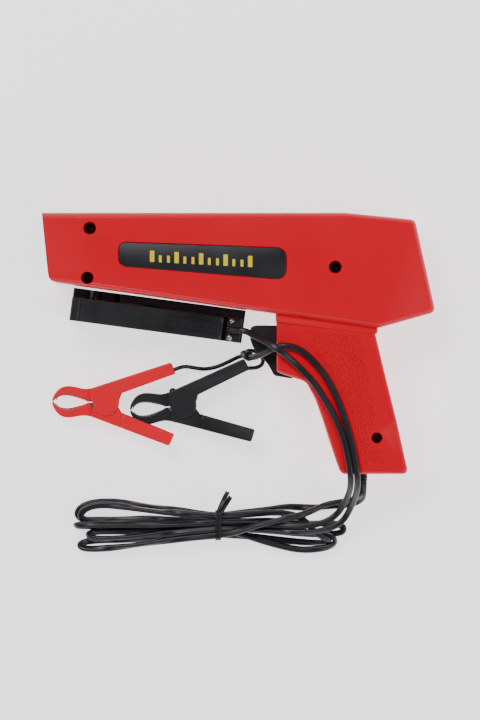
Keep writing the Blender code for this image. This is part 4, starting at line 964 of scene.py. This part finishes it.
# ---------------------------------------------------------------- springs
def spring(name, legs_in, coil, legs_out, wire, cad):
    pts = smooth(legs_in + coil + legs_out, 0.35)
    ob = sweep(name, pts, circle(wire / 2, 10))
    ob.data.materials.append(STEEL)
    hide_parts(cad)
    return ob


for colour, place, sign, body in (("red", red_place, 1, "red_clip_lever"), ("black", black_place, -1, "black_clip_lever")):
    coil = []
    for i in range(0, 12 * 3 - 3):
        t = math.radians(62) + 2 * math.pi * i / 12
        coil.append((2.75 * math.cos(t), 2.75 * math.sin(t), 1.5 - 3.0 * i / 32))
    sp = spring(f"{colour}_torsion_spring", [(13.0, 11.7, 1.5), (9.2, 9.0, 1.5), (4.6, 4.0, 1.5)], coil,
                [(4.6, -4.0, -1.5), (9.2, -9.0, -1.5), (13.0, -11.7, -1.5)], 0.8, f"{colour}_clip_spring")
    sp.data.transform(place)
    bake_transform(sp)

coil = []
for i in range(30):
    t = math.radians(80 + 32 * i)
    coil.append((pu + 2.6 * math.cos(t), -3.8 + 3.2 * i / 29, pw + 2.6 * math.sin(t)))
sp = spring("pickup_torsion_spring", [(pu + 13.0, -3.9, pw + 4.5), (pu + 6.0, -3.9, pw + 3.9)], coil,
            [(pu + 6.0, -0.6, pw - 3.6), (pu + 13.0, -0.6, pw - 4.7)], 0.8, "pickup_spring")
sp.data.transform(P_PLACE)
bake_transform(sp)

coil = []
for i in range(97):
    f = i / 96
    g = min(1.0, max(0.0, (f - 0.12) / 0.76))
    t = 2 * math.pi * 6 * f
    coil.append((28.2 + 0.55 * min(1.0, f / 0.12) + 8.6 * g + 0.55 * max(0.0, (f - 0.88) / 0.12), -2.6 + 2.1 * math.cos(t), MID + 2.1 * math.sin(t)))
sp = spring("trigger_return_spring", [], coil, [], 0.6, "trigger_spring")
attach(sp, "gun")
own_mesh(sp)

# ---------------------------------------------------------------- carried-over CAD pieces
LOOK = {"reflector": MIRROR, "lamp_holder": BLACK, "flash_tube": GLASS, "circuit_board": BOARD, "inverter_transformer": TAPE,
        "storage_capacitor": SLEEVE, "trigger_coil": COPPER, "trigger_pin": STEEL, "spring_seat": RED,
        "switch_body": BLACK, "switch_plunger": PLUNGER, "pickup_pin": STEEL, "pickup_core_lower": FERRITE,
        "pickup_core_upper": FERRITE, "pickup_coil": COPPER}
for n, m in LOOK.items():
    if n in nodes:
        nodes[n].data.materials.clear()
        nodes[n].data.materials.append(m)

print("lengths", [round(length(l), 3) for l in (line_a, line_b, line_r, line_k)])

# ---------------------------------------------------------------- floor, light
floor_me = bpy.data.meshes.new("floor")
floor_me.from_pydata([(-3, -3, 0), (3, -3, 0), (3, 3, 0), (-3, 3, 0)], [], [(0, 1, 2, 3)])
paper = material("floor_pale", (0.86, 0.86, 0.87), 0.6, bump=0.02, grain=60, tint=0.01)
paper.node_tree.nodes["Principled BSDF"].inputs["Emission Color"].default_value = (0.95, 0.96, 1.0, 1.0)
paper.node_tree.nodes["Principled BSDF"].inputs["Emission Strength"].default_value = 1.5
floor = add("floor", floor_me, [paper])
floor.location.z = -0.0003

# a sky that is dim overhead and bright all round
world = bpy.data.worlds.new("studio")
scene.world = world
world.use_nodes = True
wt = world.node_tree
bg = wt.nodes["Background"]
bg.inputs["Color"].default_value = (0.95, 0.97, 1.0, 1.0)
wc = wt.nodes.new("ShaderNodeTexCoord")
wx = wt.nodes.new("ShaderNodeSeparateXYZ")
wr = wt.nodes.new("ShaderNodeMapRange")
wr.inputs["From Min"].default_value = 0.35
wr.inputs["From Max"].default_value = 0.97
wr.inputs["To Min"].default_value = 0.45
wr.inputs["To Max"].default_value = 0.10
wt.links.new(wc.outputs["Generated"], wx.inputs["Vector"])
wt.links.new(wx.outputs["Z"], wr.inputs["Value"])
wt.links.new(wr.outputs["Result"], bg.inputs["Strength"])


def area(name, loc, size, power, aim=(0, 0, 0)):
    l = bpy.data.lights.new(name, 'AREA')
    l.shape = 'RECTANGLE'
    l.size, l.size_y = size
    l.energy = power
    o = bpy.data.objects.new(name, l)
    scene.collection.objects.link(o)
    o.location = loc
    d = Vector(aim) - Vector(loc)
    o.rotation_euler = d.to_track_quat('-Z', 'Y').to_euler()
    return o


area("key", (-0.5, 0.7, 1.3), (0.9, 0.6), 13.0)
area("fill", (0.9, -0.3, 0.9), (0.5, 0.9), 5.0)
area("front", (0.0, -1.0, 0.5), (1.2, 0.4), 2.5)
